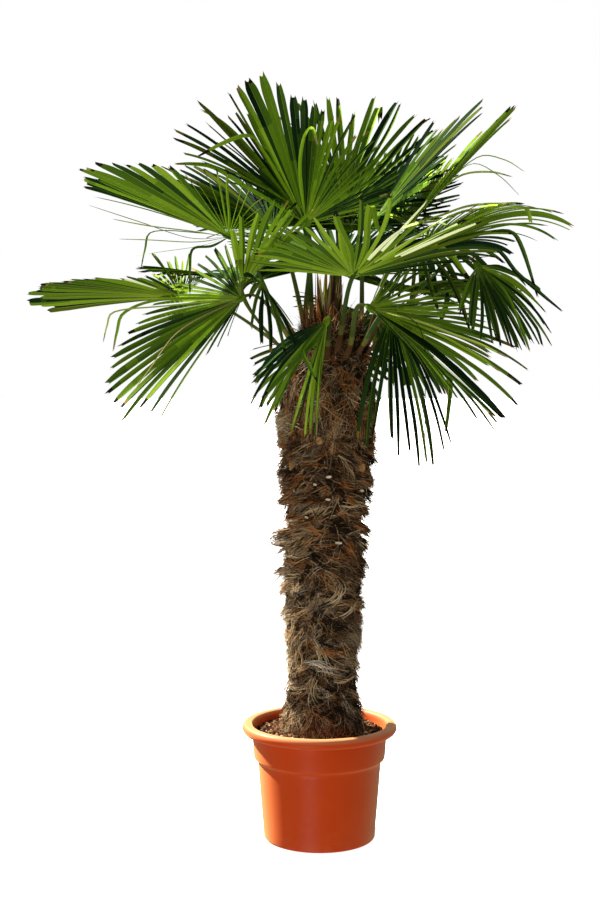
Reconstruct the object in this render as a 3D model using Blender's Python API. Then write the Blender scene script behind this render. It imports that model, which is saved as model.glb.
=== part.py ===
# Potted windmill palm: round nursery pot, soil, fibrous trunk, spears and fan fronds.
# Origin: centre of the pot's flat underside.  +Z up, front towards -Y.  Metres.
import bpy
import bmesh
import math
from mathutils import Vector
from mathutils.bvhtree import BVHTree

for old in list(bpy.data.objects):
    bpy.data.objects.remove(old, do_unlink=True)

# ---------------------------------------------------------------- driving sizes
GAP = 0.0003                 # clearance between pieces that rest on each other

POT_RIM_R = 0.260            # outer radius of the rolled rim
POT_RIM_TOP = 0.393          # height of the rim's top
POT_LIP_H = 0.034            # height of the rolled lip
POT_COLLAR_R = 0.2275        # collar below the lip
POT_COLLAR_R2 = 0.2215
POT_STEP_Z = 0.275           # the step below the collar
POT_WALL_R = 0.208           # body just below the step
POT_BASE_R = 0.187           # body at the foot
POT_FOOT_R = 0.180           # flat underside
POT_THICK = 0.005
POT_FLOOR = 0.006
TURN_SIDES = 36              # sides of the turned pot and soil

SOIL_TOP = 0.365             # soil level, below the rim's top
SOIL_CROWN = 0.006           # the soil rises this much towards the trunk

TRUNK_TOP = 1.686
TRUNK_TOP_X = 0.034          # the trunk leans this much to the right at its top
TRUNK_SIDES = 16
TRUNK_RINGS = 17

HEART_TOP = 1.926            # tip of the unopened spears
BLADE_T = 0.003              # thickness of a blade
TOOTH = 20.0                 # width of a tooth at a fan's edge, degrees
NOTCH = 0.56                 # the cuts between teeth reach in to this share of the length
HUB_R = 0.018                # solid middle of a fan
STALK_R0 = 0.012             # stalk radius at the trunk
STALK_R1 = 0.006             # stalk radius at the fan
STALK_SIDES = 5
STALK_STEPS = 5

# One line for each frond:
# name, hub (x, y, z), azimuth (0 = to the front, 90 = to the right), elevation, roll, length,
# fold of the left and right half, droop, outline: (angle round the hub, share of the length)
ROUND = ((-108, 0.68), (-80, 0.80), (-50, 0.91), (-20, 0.985), (0, 1.0), (20, 0.985), (50, 0.90), (80, 0.79), (108, 0.66))
NARROW = ((-76, 0.66), (-55, 0.80), (-30, 0.93), (0, 1.0), (30, 0.92), (55, 0.79), (76, 0.64))
FRONDS = (
    ("front", (0.10, -0.32, 1.871), 12, 17, 0, 0.54, 14, 10, 0.25,
     ((-116, 0.90), (-100, 0.92), (-90, 0.95), (-78, 0.88), (-50, 0.78), (-36, 0.77), (-24, 0.82), (-14, 0.87),
      (-4, 1.05), (6, 1.03), (18, 0.85), (30, 0.76), (50, 0.63), (74, 0.65), (96, 0.60), (110, 0.50))),
    ("left_low", (-0.25, -0.24, 1.806), 284, -37, -20, 0.55, 0, 10, 0.14,
     ((-50, 0.35), (-34, 0.55), (-30, 0.93), (-20, 1.0), (4, 0.97), (14, 0.91), (24, 0.87), (36, 0.77), (52, 0.65),
      (72, 0.60), (92, 0.60), (108, 0.62), (118, 0.62))),
    ("left_far", (-0.469, 0.150, 1.826), 243, -3, -8, 0.574, 16, 27, 0.086,
     ((-110, 0.80), (-98, 0.63), (-90, 0.75), (-82, 0.75), (-70, 0.80), (-66, 0.86), (-42, 0.86), (-34, 0.92),
      (-10, 0.95), (0, 0.97), (14, 0.98), (22, 0.80), (30, 0.55), (42, 0.50), (56, 0.60), (70, 0.60), (76, 0.30), (110, 0.25))),
    ("left_high", (-0.30, -0.02, 2.016), 303, 23, 3, 0.54, 8, 8, 0.10,
     ((-112, 0.30), (-80, 0.50), (-66, 0.80), (-60, 1.0), (-50, 0.90), (-36, 0.80), (-22, 0.91), (-4, 1.0), (16, 0.96),
      (24, 0.95), (36, 0.97), (42, 0.90))),
    ("top_left", (-0.046, 0.08, 2.071), 240, 68, -62, 0.52, 10, 14, 0.08,
     ((-12, 1.06), (0, 1.05), (6, 1.0), (12, 0.88), (22, 0.79), (36, 0.77), (62, 0.69), (84, 0.60), (105, 0.50))),
    ("right_low", (0.152, -0.347, 1.771), 82, -38, 29, 0.56, 20, 28, 0.26,
     ((-110, 0.40), (-60, 0.50), (-44, 0.62), (-36, 0.85), (-30, 1.03), (-18, 0.98), (-2, 0.98), (22, 1.03), (34, 0.85),
      (50, 0.80), (58, 0.86))),
    ("right_hang", (0.226, -0.197, 1.758), 77, -73, 22, 0.51, 7, -1, 1.55,
     ((-30, 0.95), (-23, 1.03), (-15, 0.98), (-3, 1.03), (13, 0.92), (21, 0.92), (33, 0.98), (41, 0.86), (49, 0.98),
      (60, 0.98))),
    ("left_hang", (0.019, -0.265, 1.734), 314, -65, 13, 0.43, 10, 8, 0.95,
     ((-30, 1.0), (-16, 0.98), (-4, 0.92), (2, 0.90), (6, 0.25), (22, 0.25), (26, 0.90), (40, 0.92), (48, 0.85),
      (52, 0.98), (64, 0.86), (76, 0.85))),
    ("right_mid", (0.34, -0.015, 1.968), 102, 22, -13, 0.52, 0, 8, 0.83,
     ((-100, 0.70), (-60, 1.0), (-32, 1.0), (-24, 0.75), (-10, 0.80), (0, 0.90), (20, 1.03), (32, 0.92), (60, 0.86),
      (72, 0.80), (100, 0.60))),
    ("right_bright", (0.30, 0.0, 2.059), 104, 47, 0, 0.55, 6, 15, 0.10,
     ((-90, 0.50), (-60, 0.75), (-40, 0.92), (-30, 0.60), (-18, 1.0), (-2, 0.96), (18, 0.93), (30, 0.92), (40, 0.90),
      (50, 0.50), (84, 0.70))),
    ("right_drop", (0.511, -0.102, 1.918), 75, -57, 29, 0.40, -7, 16, 0.63,
     ((-80, 0.80), (-66, 0.92), (-38, 1.0), (-14, 0.78), (30, 0.80), (46, 0.86), (58, 0.92), (75, 0.80))),
    ("right_high", (0.19, 0.09, 2.09), 97, 53, 21, 0.54, 0, 12, 0.05,
     ((-80, 0.60), (0, 0.80), (14, 0.95), (20, 1.0), (32, 0.98), (40, 0.70), (80, 0.60))),
    ("top_back", (0.08, 0.16, 2.121), 164, 58, 5, 0.53, 12, 12, 0.12,
     ((-60, 0.80), (-18, 0.95), (0, 0.98), (12, 0.96), (28, 0.90), (44, 0.80), (56, 0.74), (105, 0.65))),
    ("top_dark", (-0.087, 0.185, 2.141), 239, 52, -31, 0.53, 25, 0, 0.05,
     ((-90, 0.35), (-70, 0.50), (-60, 0.80), (-54, 0.92), (-38, 0.92), (-30, 0.60), (-18, 0.90), (-10, 0.98), (0, 0.80),
      (60, 0.70))),
    ("left_up", (-0.256, 0.020, 1.865), 23, 37, 8, 0.402, 14, 21, 0.02,
     ((-44, 0.60), (-36, 0.84), (-12, 0.98), (0, 1.03), (14, 0.95), (26, 0.60))),
    ("left_small", (-0.189, -0.120, 1.855), 3, -17, -52, 0.393, 12, 6, 1.23,
     ((-40, 0.50), (-20, 0.85), (-8, 0.98), (0, 1.10), (8, 0.98), (16, 0.88), (36, 0.50))),
    ("back_mid", (0.07, 0.40, 1.955), 172, 16, 0, 0.53, 12, 12, 0.22, ROUND),
    ("back_right", (0.26, 0.36, 1.860), 142, 0, 6, 0.53, 12, 12, 0.25, ROUND),
    ("back_left", (-0.24, 0.33, 1.885), 212, 8, -5, 0.47, 12, 12, 0.16, ROUND),
    ("back_right_low", (0.20, 0.30, 1.761), 145, -30, 0, 0.50, 14, 14, 0.35, ROUND),
    ("back_low", (0.02, 0.24, 1.681), 182, -58, 0, 0.42, 18, 18, 0.50, NARROW),
    ("back_left_high", (-0.16, 0.28, 2.071), 214, 34, -8, 0.50, 12, 12, 0.15, ROUND),
    ("back_right_high", (0.11, 0.36, 2.071), 158, 38, 4, 0.50, 12, 12, 0.15, ROUND),
)


# ---------------------------------------------------------------- helpers
def material(name, rgb, rough, metal=0.0):
    m = bpy.data.materials.new(name)
    m.use_nodes = True
    b = m.node_tree.nodes["Principled BSDF"]
    b.inputs["Base Color"].default_value = (rgb[0], rgb[1], rgb[2], 1.0)
    b.inputs["Roughness"].default_value = rough
    b.inputs["Metallic"].default_value = metal
    m.diffuse_color = (rgb[0], rgb[1], rgb[2], 1.0)
    return m


PLASTIC = material("pot_plastic", (0.62, 0.16, 0.035), 0.45)
SOIL = material("soil_bark", (0.16, 0.075, 0.035), 0.95)
FIBRE = material("trunk_fibre", (0.12, 0.075, 0.04), 0.95)
SPEAR = material("spear_green", (0.20, 0.22, 0.06), 0.6)
STALK = material("stalk_green", (0.14, 0.22, 0.05), 0.5)
LEAF = material("leaf_green", (0.06, 0.17, 0.03), 0.4)


def add_object(name, mesh, mat, smooth=False):
    ob = bpy.data.objects.new(name, mesh)
    bpy.context.scene.collection.objects.link(ob)
    mesh.materials.append(mat)
    if smooth:
        mesh.shade_smooth()
        mesh.set_sharp_from_angle(angle=math.radians(35))
    return ob


def lathe(name, profile, sides, mat, centre=(0.0, 0.0), closed=False):
    """Turn a profile of (radius, z).  An open profile starts and ends on the axis."""
    bm = bmesh.new()
    rings = []
    for r, z in profile:
        if r < 1e-6:
            rings.append([bm.verts.new((centre[0], centre[1], z))])
        else:
            rings.append([bm.verts.new((centre[0] + r * math.cos(2 * math.pi * i / sides),
                                        centre[1] + r * math.sin(2 * math.pi * i / sides), z))
                          for i in range(sides)])
    pairs = list(zip(rings, rings[1:]))
    if closed:
        pairs.append((rings[-1], rings[0]))
    for a, b in pairs:
        for i in range(sides):
            j = (i + 1) % sides
            if len(a) == 1:
                bm.faces.new((a[0], b[j], b[i]))
            elif len(b) == 1:
                bm.faces.new((a[i], a[j], b[0]))
            else:
                bm.faces.new((a[i], a[j], b[j], b[i]))
    bmesh.ops.recalc_face_normals(bm, faces=bm.faces)
    mesh = bpy.data.meshes.new(name)
    bm.to_mesh(mesh)
    bm.free()
    return add_object(name, mesh, mat, smooth=True)


def tube_mesh(points, radii, sides):
    """A closed tube through points, with flat caps; returns a bmesh."""
    bm = bmesh.new()
    rings = []
    u = None
    for k, p in enumerate(points):
        a = points[max(k - 1, 0)]
        b = points[min(k + 1, len(points) - 1)]
        t = (b - a).normalized()
        # the ring's first direction is carried along the line, so that the tube doesn't twist
        if u is None:
            u = t.cross(Vector((0.0, 0.0, 1.0)))
            if u.length < 0.2:
                u = t.cross(Vector((0.0, 1.0, 0.0)))
        u = (u - t * u.dot(t)).normalized()
        v = t.cross(u).normalized()
        rings.append([bm.verts.new(p + radii[k] * (math.cos(2 * math.pi * i / sides) * u
                                                   + math.sin(2 * math.pi * i / sides) * v))
                      for i in range(sides)])
    for a, b in zip(rings, rings[1:]):
        for i in range(sides):
            j = (i + 1) % sides
            bm.faces.new((a[i], a[j], b[j], b[i]))
    bm.faces.new(rings[0][::-1])
    bm.faces.new(rings[-1])
    bmesh.ops.triangulate(bm, faces=bm.faces[:])
    bmesh.ops.recalc_face_normals(bm, faces=bm.faces)
    return bm


# ---------------------------------------------------------------- pot and soil
def pot_profile():
    """Closed section of the pot, from the underside up the outside, over the lip, down the inside."""
    lip_r = POT_LIP_H / 2
    lip_z = POT_RIM_TOP - lip_r
    mouth_r = POT_COLLAR_R - POT_THICK
    out = [(POT_FOOT_R, 0.0), (POT_BASE_R - 0.001, 0.003), (POT_BASE_R, 0.010),
           (POT_WALL_R, POT_STEP_Z - 0.014), (POT_WALL_R + 0.004, POT_STEP_Z - 0.008),
           (POT_COLLAR_R2 - 0.002, POT_STEP_Z), (POT_COLLAR_R2, POT_STEP_Z + 0.004),
           (POT_COLLAR_R, lip_z - lip_r)]
    for k in range(5):
        a = math.radians(-70 + 160 * k / 4)
        out.append((POT_RIM_R - 0.013 + 0.013 * math.cos(a), lip_z + lip_r * math.sin(a)))
    out.append((mouth_r + 0.006, POT_RIM_TOP - 0.002))
    out.append((mouth_r, POT_RIM_TOP - 0.010))
    out.append((POT_COLLAR_R2 - POT_THICK, POT_STEP_Z + 0.006))
    out.append((POT_WALL_R - POT_THICK, POT_STEP_Z - 0.010))
    out.append((POT_BASE_R - POT_THICK, POT_FLOOR))
    return out


def make_pot():
    prof = pot_profile()
    # the section is closed through the axis: underside and floor are discs
    prof = [(0.0, 0.0)] + prof + [(0.0, POT_FLOOR)]
    return lathe("pot", prof, TURN_SIDES, PLASTIC)


def inner_radius(z):
    """Inside radius of the pot at height z."""
    pts = [(POT_FLOOR, POT_BASE_R - POT_THICK), (POT_STEP_Z - 0.010, POT_WALL_R - POT_THICK),
           (POT_STEP_Z + 0.006, POT_COLLAR_R2 - POT_THICK), (POT_RIM_TOP - 0.010, POT_COLLAR_R - POT_THICK)]
    for (z0, r0), (z1, r1) in zip(pts, pts[1:]):
        if z <= z1:
            return r0 + (r1 - r0) * (z - z0) / (z1 - z0)
    return pts[-1][1]


def trunk_radius(z):
    """Radius of the fibre-covered trunk by height, true taper with the swelling under the crown."""
    pts = ((SOIL_TOP, 0.134), (0.40, 0.130), (0.43, 0.122), (0.47, 0.107), (0.53, 0.0985), (0.64, 0.100),
           (0.74, 0.107), (0.81, 0.112), (0.87, 0.115), (0.94, 0.117), (1.01, 0.125), (1.076, 0.117),
           (1.143, 0.130), (1.21, 0.141), (1.28, 0.142), (1.345, 0.152), (1.42, 0.157), (1.50, 0.153),
           (1.56, 0.130), (1.62, 0.112), (TRUNK_TOP, 0.086))
    for (z0, r0), (z1, r1) in zip(pts, pts[1:]):
        if z <= z1:
            return r0 + (r1 - r0) * (z - z0) / (z1 - z0)
    return pts[-1][1]


def trunk_centre(z):
    """Centre line: nearly upright, leaning slightly right towards the top."""
    u = max(0.0, (z - SOIL_TOP) / (TRUNK_TOP - SOIL_TOP))
    return Vector((0.010 + (TRUNK_TOP_X - 0.010) * u ** 2, 0.0, z))


def make_soil():
    g = 2 * GAP
    zs = (POT_FLOOR + GAP, POT_STEP_Z - 0.010, POT_STEP_Z + 0.006)
    prof = [(0.0, zs[0])]
    prof += [(inner_radius(z) - g, z) for z in zs]
    prof.append((inner_radius(SOIL_TOP) - g, SOIL_TOP - SOIL_CROWN))
    prof.append((0.155, SOIL_TOP))
    prof.append((0.0, SOIL_TOP))
    return lathe("soil", prof, TURN_SIDES, SOIL)


def make_trunk():
    bm = bmesh.new()
    rings = []
    base = SOIL_TOP + GAP
    for k in range(TRUNK_RINGS):
        z = base + (TRUNK_TOP - base) * (k / (TRUNK_RINGS - 1)) ** 1.0
        c = trunk_centre(z)
        r = trunk_radius(z)
        rings.append([bm.verts.new((c.x + r * math.cos(2 * math.pi * i / TRUNK_SIDES),
                                    c.y + r * math.sin(2 * math.pi * i / TRUNK_SIDES), z))
                      for i in range(TRUNK_SIDES)])
    for a, b in zip(rings, rings[1:]):
        for i in range(TRUNK_SIDES):
            j = (i + 1) % TRUNK_SIDES
            bm.faces.new((a[i], a[j], b[j], b[i]))
    bm.faces.new(rings[0][::-1])
    bm.faces.new(rings[-1])
    bmesh.ops.recalc_face_normals(bm, faces=bm.faces)
    mesh = bpy.data.meshes.new("trunk")
    bm.to_mesh(mesh)
    bm.free()
    return add_object("trunk", mesh, FIBRE, smooth=True)


def make_heart():
    c = trunk_centre(TRUNK_TOP)
    prof = [(0.0, TRUNK_TOP + GAP), (0.050, TRUNK_TOP + GAP), (0.046, TRUNK_TOP + 0.06),
            (0.028, TRUNK_TOP + 0.14), (0.010, HEART_TOP), (0.0, HEART_TOP)]
    return lathe("spears", prof, 10, SPEAR, centre=(c.x - 0.006, c.y))


# ---------------------------------------------------------------- fronds
def blade_axes(az, el, roll):
    a, e, r = math.radians(az), math.radians(el), math.radians(roll)
    m = Vector((math.sin(a) * math.cos(e), -math.cos(a) * math.cos(e), math.sin(e)))
    n0 = Vector((-math.sin(a) * math.sin(e), math.cos(a) * math.sin(e), math.cos(e)))
    s0 = m.cross(n0)
    n = math.cos(r) * n0 + math.sin(r) * s0
    s = math.cos(r) * s0 - math.sin(r) * n0
    return m, s, n


class Frond:
    def __init__(self, row):
        (self.name, hub, self.az, self.el, self.roll, self.R, self.fl, self.fr, self.droop, self.outline) = row
        self.hub = Vector(hub)
        self.m, self.s, self.n = blade_axes(self.az, self.el, self.roll)
        self.first, self.last = self.outline[0][0], self.outline[-1][0]
        self.teeth = max(4, round((self.last - self.first) / TOOTH))

    def length(self, th):
        pts = self.outline
        th = max(self.first, min(self.last, th))
        for (t0, s0), (t1, s1) in zip(pts, pts[1:]):
            if th <= t1:
                return self.R * (s0 + (s1 - s0) * (th - t0) / (t1 - t0))
        return self.R * pts[-1][1]

    def point(self, th, r):
        """Point of the blade's middle surface at angle th (degrees) and distance r along the leaflet."""
        t = math.radians(th)
        c = math.radians(self.fr if th > 0 else self.fl)
        d = (math.cos(t) * self.m + math.sin(t) * math.cos(c) * self.s
             + abs(math.sin(t)) * math.sin(c) * self.n)
        p = self.hub.copy()
        steps = 8
        for i in range(steps):
            q = (i + 0.5) / steps * r / self.R
            dd = d + Vector((0, 0, -1)) * self.droop * q * q * (self.R / 0.5)
            dd.normalize()
            p += dd * (r / steps)
        return p


def blade_bmesh(fr, keep, thick):
    """Closed thin blade of the fan's outline.  keep[i] is the share of tooth i's length that is left."""
    bm = bmesh.new()
    layer = bm.faces.layers.int.new("tooth")
    n = fr.teeth
    bounds = [fr.first + (fr.last - fr.first) * i / n for i in range(n + 1)]

    def share(i):
        near = [keep[j] for j in (i - 1, i) if 0 <= j < n and keep[j] > 0]
        return min(near) if near else 0.0

    hub = bm.verts.new(fr.point(0, 0.0))
    rings = []
    for i, th in enumerate(bounds):
        k = share(i)
        t = max(-88.0, min(88.0, th))
        a = bm.verts.new(fr.point(t, HUB_R))
        if k <= 0:
            rings.append((a,))
            continue
        r2 = max(fr.length(th) * NOTCH * k, HUB_R * 2.4)
        rings.append((a, bm.verts.new(fr.point(th, r2))))
    for i in range(n):
        f = bm.faces.new((hub, rings[i][0], rings[i + 1][0]))
        f[layer] = -1
        if keep[i] <= 0:
            continue
        a, b = rings[i], rings[i + 1]
        faces = [(a[0], a[1], b[1], b[0])]
        th = (bounds[i] + bounds[i + 1]) / 2
        h = (bounds[i + 1] - bounds[i]) / 2
        full = max(fr.length(th) * keep[i], HUB_R * 3.4)
        r3, r4 = full * 0.8, full
        c = [bm.verts.new(fr.point(th - h * 0.52, r3)), bm.verts.new(fr.point(th + h * 0.52, r3))]
        d = [bm.verts.new(fr.point(th - h * 0.12, r4)), bm.verts.new(fr.point(th + h * 0.12, r4))]
        faces += [(a[1], c[0], c[1], b[1]), (c[0], d[0], d[1], c[1])]
        for vs in faces:
            f = bm.faces.new(vs)
            f[layer] = i
    bmesh.ops.triangulate(bm, faces=bm.faces[:])
    bm.normal_update()
    # thicken: every vertex gets a twin on the other side, open edges get walls
    normals = {v: v.normal.copy() for v in bm.verts}
    edges = [e for e in bm.edges if len(e.link_faces) == 1]
    walls = []
    for e in edges:
        loop = e.link_loops[0]
        walls.append((loop.vert, loop.link_loop_next.vert, e.link_faces[0][layer]))
    faces = [([v for v in f.verts], f[layer]) for f in bm.faces]
    twin = {}
    for v in list(normals):
        twin[v] = bm.verts.new(v.co - normals[v] * thick / 2)
        v.co = v.co + normals[v] * thick / 2
    for vs, i in faces:
        f = bm.faces.new([twin[v] for v in reversed(vs)])
        f[layer] = i
    for a, b, i in walls:
        f = bm.faces.new((b, a, twin[a]))
        f[layer] = i
        f = bm.faces.new((b, twin[a], twin[b]))
        f[layer] = i
    bm.normal_update()
    return bm, layer


def bvh_of(bm):
    bm.verts.ensure_lookup_table()
    bm.verts.index_update()
    bm.faces.ensure_lookup_table()
    return BVHTree.FromPolygons([v.co.copy() for v in bm.verts],
                                [[v.index for v in f.verts] for f in bm.faces])


def bvh_of_object(ob, grow=0.0):
    bm = bmesh.new()
    bm.from_mesh(ob.data)
    bm.normal_update()
    for v, n in [(v, v.normal.copy()) for v in bm.verts]:
        v.co = v.co + n * grow
    tree = bvh_of(bm)
    bm.free()
    return tree


def stalk_curve(fr, turn, lift):
    """Points from the trunk's head to the back of the fan's hub.
    turn moves the start round the trunk (degrees), lift moves it up or down."""
    flat = Vector((fr.hub.x - TRUNK_TOP_X, fr.hub.y, 0.0))
    w = math.atan2(flat.y, flat.x) + math.radians(turn)
    out = Vector((math.cos(w), math.sin(w), 0.0))
    rise = math.atan2(fr.hub.z - 1.621, flat.length)
    z = 1.606 + 0.055 * max(-0.6, min(1.0, rise / 1.2)) + lift
    c = trunk_centre(z)
    start = c + out * (trunk_radius(z) + 0.0135)
    end = fr.hub - fr.m * 0.0010
    d = (end - start).length
    lead = (out * math.cos(rise * 0.8 + 0.35) + Vector((0, 0, 1)) * math.sin(rise * 0.8 + 0.35))
    p1 = start + lead * d * 0.38
    p2 = end - fr.m * d * 0.30
    pts = []
    for k in range(STALK_STEPS + 1):
        t = k / STALK_STEPS
        pts.append((1 - t) ** 3 * start + 3 * t * (1 - t) ** 2 * p1 + 3 * t * t * (1 - t) * p2 + t ** 3 * end)
    # the last stretch runs straight into the hub
    pts[-2] = end - fr.m * (pts[-1] - pts[-2]).length
    return pts


make_pot()
make_soil()
trunk = make_trunk()
heart = make_heart()

obstacles = [("trunk", bvh_of_object(trunk, 0.0010)), ("spears", bvh_of_object(heart, 0.0010))]
fronds = [Frond(row) for row in FRONDS]
notes = []

# stalks first: each is kept clear of the pieces before it by turning its start round the trunk
STARTS = sorted(((t, l) for t in range(-48, 49, 6) for l in (0.0, 0.025, -0.025, 0.05, -0.05)),
                key=lambda q: abs(q[0]) / 10 + abs(q[1]) / 0.02)
stalk_trees = []
for fr in fronds:
    radii = [STALK_R0 + (STALK_R1 - STALK_R0) * k / STALK_STEPS for k in range(STALK_STEPS + 1)]
    for turn, lift in STARTS:
        bm = tube_mesh(stalk_curve(fr, turn, lift), radii, STALK_SIDES)
        tree = bvh_of(bm)
        met = [nm for nm, other in obstacles + stalk_trees if tree.overlap(other)]
        if not met:
            break
        bm.free()
    if met:
        bm = tube_mesh(stalk_curve(fr, 0, 0), radii, STALK_SIDES)
        notes.append("stalk %s meets %s" % (fr.name, met))
    else:
        notes.append("stalk %s turned %d lifted %.3f" % (fr.name, turn, lift))
    mesh = bpy.data.meshes.new("stalk_" + fr.name)
    bm.to_mesh(mesh)
    bm.free()
    ob = add_object("stalk_" + fr.name, mesh, STALK, smooth=True)
    stalk_trees.append(("stalk_" + fr.name, bvh_of_object(ob, 0.0006)))

# fans: each tooth is shortened until the blade is clear of everything made before it
fan_trees = []
for fr in fronds:
    keep = [1.0] * fr.teeth
    for turn in range(60):
        bm, layer = blade_bmesh(fr, keep, BLADE_T + 0.0012)
        tree = bvh_of(bm)
        hits = {}
        for nm, other in obstacles + stalk_trees + fan_trees:
            for a, b in tree.overlap(other):
                i = bm.faces[a][layer]
                hits.setdefault(i, set()).add(nm)
        bm.free()
        if not hits:
            break
        if -1 in hits:
            notes.append("hub of %s meets %s" % (fr.name, sorted(hits[-1])))
            if set(hits) == {-1}:
                break
        for i in hits:
            if i >= 0:
                keep[i] = keep[i] * 0.93
                if keep[i] < 0.16:
                    keep[i] = 0.0
    bm, layer = blade_bmesh(fr, keep, BLADE_T)
    mesh = bpy.data.meshes.new("fan_" + fr.name)
    bm.to_mesh(mesh)
    bm.free()
    ob = add_object("fan_" + fr.name, mesh, LEAF)
    fan_trees.append(("fan_" + fr.name, bvh_of_object(ob, 0.0006)))
    notes.append("%s keeps %s" % (fr.name, " ".join("%.2f" % k for k in keep)))

for line in notes:
    print("NOTE", line)
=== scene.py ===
import math
import bpy
import numpy as np
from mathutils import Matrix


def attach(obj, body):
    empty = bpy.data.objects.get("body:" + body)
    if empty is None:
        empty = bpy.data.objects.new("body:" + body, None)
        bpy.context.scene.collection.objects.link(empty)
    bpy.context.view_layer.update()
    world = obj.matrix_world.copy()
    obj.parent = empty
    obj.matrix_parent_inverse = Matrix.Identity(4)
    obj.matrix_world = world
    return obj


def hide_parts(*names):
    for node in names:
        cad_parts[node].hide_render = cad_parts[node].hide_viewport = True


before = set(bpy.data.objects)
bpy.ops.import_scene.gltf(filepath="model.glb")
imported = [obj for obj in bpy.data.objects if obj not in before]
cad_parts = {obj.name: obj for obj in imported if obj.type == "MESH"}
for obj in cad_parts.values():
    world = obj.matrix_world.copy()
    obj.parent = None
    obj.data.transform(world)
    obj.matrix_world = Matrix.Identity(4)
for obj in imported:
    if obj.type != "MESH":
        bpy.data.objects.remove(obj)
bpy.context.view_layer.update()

SEED = 41


def rng_for(name):
    """A generator of its own for each piece, so that one piece can change without the others."""
    return np.random.default_rng([SEED] + [ord(c) for c in name])


# ================================================================ materials
def principled(name, rgb, rough, spec=0.5):
    m = bpy.data.materials.new(name)
    m.use_nodes = True
    b = m.node_tree.nodes["Principled BSDF"]
    b.inputs["Base Color"].default_value = (rgb[0], rgb[1], rgb[2], 1.0)
    b.inputs["Roughness"].default_value = rough
    b.inputs["Specular IOR Level"].default_value = spec
    m.diffuse_color = (rgb[0], rgb[1], rgb[2], 1.0)
    return m


def add_node(m, kind, **values):
    n = m.node_tree.nodes.new(kind)
    for k, v in values.items():
        if k in n.inputs:
            n.inputs[k].default_value = v
        else:
            setattr(n, k, v)
    return n


def ramp(m, stops):
    n = m.node_tree.nodes.new("ShaderNodeValToRGB")
    el = n.color_ramp.elements
    el[0].position, el[0].color = stops[0][0], (*stops[0][1], 1.0)
    el[1].position, el[1].color = stops[-1][0], (*stops[-1][1], 1.0)
    for pos, rgb in stops[1:-1]:
        e = el.new(pos)
        e.color = (*rgb, 1.0)
    return n


def link(m, a, out, b, inp):
    m.node_tree.links.new(a.outputs[out], b.inputs[inp])


def grey_ramp(m, stops):
    return ramp(m, [(p, (v, v, v)) for p, v in stops])


# Leaf greens, from deep shade to sun-struck yellow-green, and the dry ends.
LEAF_COLOURS = (
    ("leaf_deep", (0.009, 0.025, 0.009), 0.62, 0.005),
    ("leaf_dark", (0.027, 0.064, 0.012), 0.62, 0.005),
    ("leaf_green", (0.068, 0.140, 0.011), 0.62, 0.005),
    ("leaf_fresh", (0.128, 0.232, 0.012), 0.60, 0.01),
    ("leaf_bright", (0.212, 0.352, 0.016), 0.60, 0.01),
    ("leaf_lime", (0.300, 0.450, 0.030), 0.60, 0.01),
    ("leaf_yellowgreen", (0.540, 0.640, 0.120), 0.55, 0.06),
    ("leaf_olive", (0.098, 0.126, 0.010), 0.62, 0.005),
    ("leaf_rib", (0.270, 0.350, 0.035), 0.60, 0.03),
    ("leaf_tip_dark", (0.018, 0.013, 0.007), 0.70, 0.03),
    ("leaf_straw", (0.380, 0.280, 0.110), 0.70, 0.05),
    ("leaf_gold", (0.250, 0.170, 0.022), 0.66, 0.04),
    ("leaf_glare", (0.760, 0.820, 0.420), 0.55, 0.06),
)
LEAF = [principled(n, c, r, s) for n, c, r, s in LEAF_COLOURS]
# painted highlight: the glare green glows by a faint emission of its own, standing in for sun glinting off the leaves
LEAF[12].node_tree.nodes["Principled BSDF"].inputs["Emission Color"].default_value = (1.0, 1.0, 0.66, 1.0)
LEAF[12].node_tree.nodes["Principled BSDF"].inputs["Emission Strength"].default_value = 0.26
(DEEP, DARK, GREEN, FRESH, BRIGHT, LIME, YELLOW, OLIVE, RIB, TIP, STRAW, GOLD, GLARE) = range(13)

FIBRE_COLOURS = (
    ("fibre_dark", (0.026, 0.014, 0.006)),
    ("fibre_brown", (0.112, 0.058, 0.024)),
    ("fibre_grey", (0.235, 0.175, 0.112)),
    ("fibre_rust", (0.370, 0.135, 0.032)),
    ("fibre_tan", (0.440, 0.285, 0.140)),
    ("fibre_straw", (0.600, 0.450, 0.250)),
    ("fibre_pale", (0.740, 0.660, 0.500)),
)
FIBRE = [principled(n, c, 0.85, 0.08) for n, c in FIBRE_COLOURS]
F_DARK, F_BROWN, F_GREY, F_RUST, F_TAN, F_STRAW, F_PALE = range(7)


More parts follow.
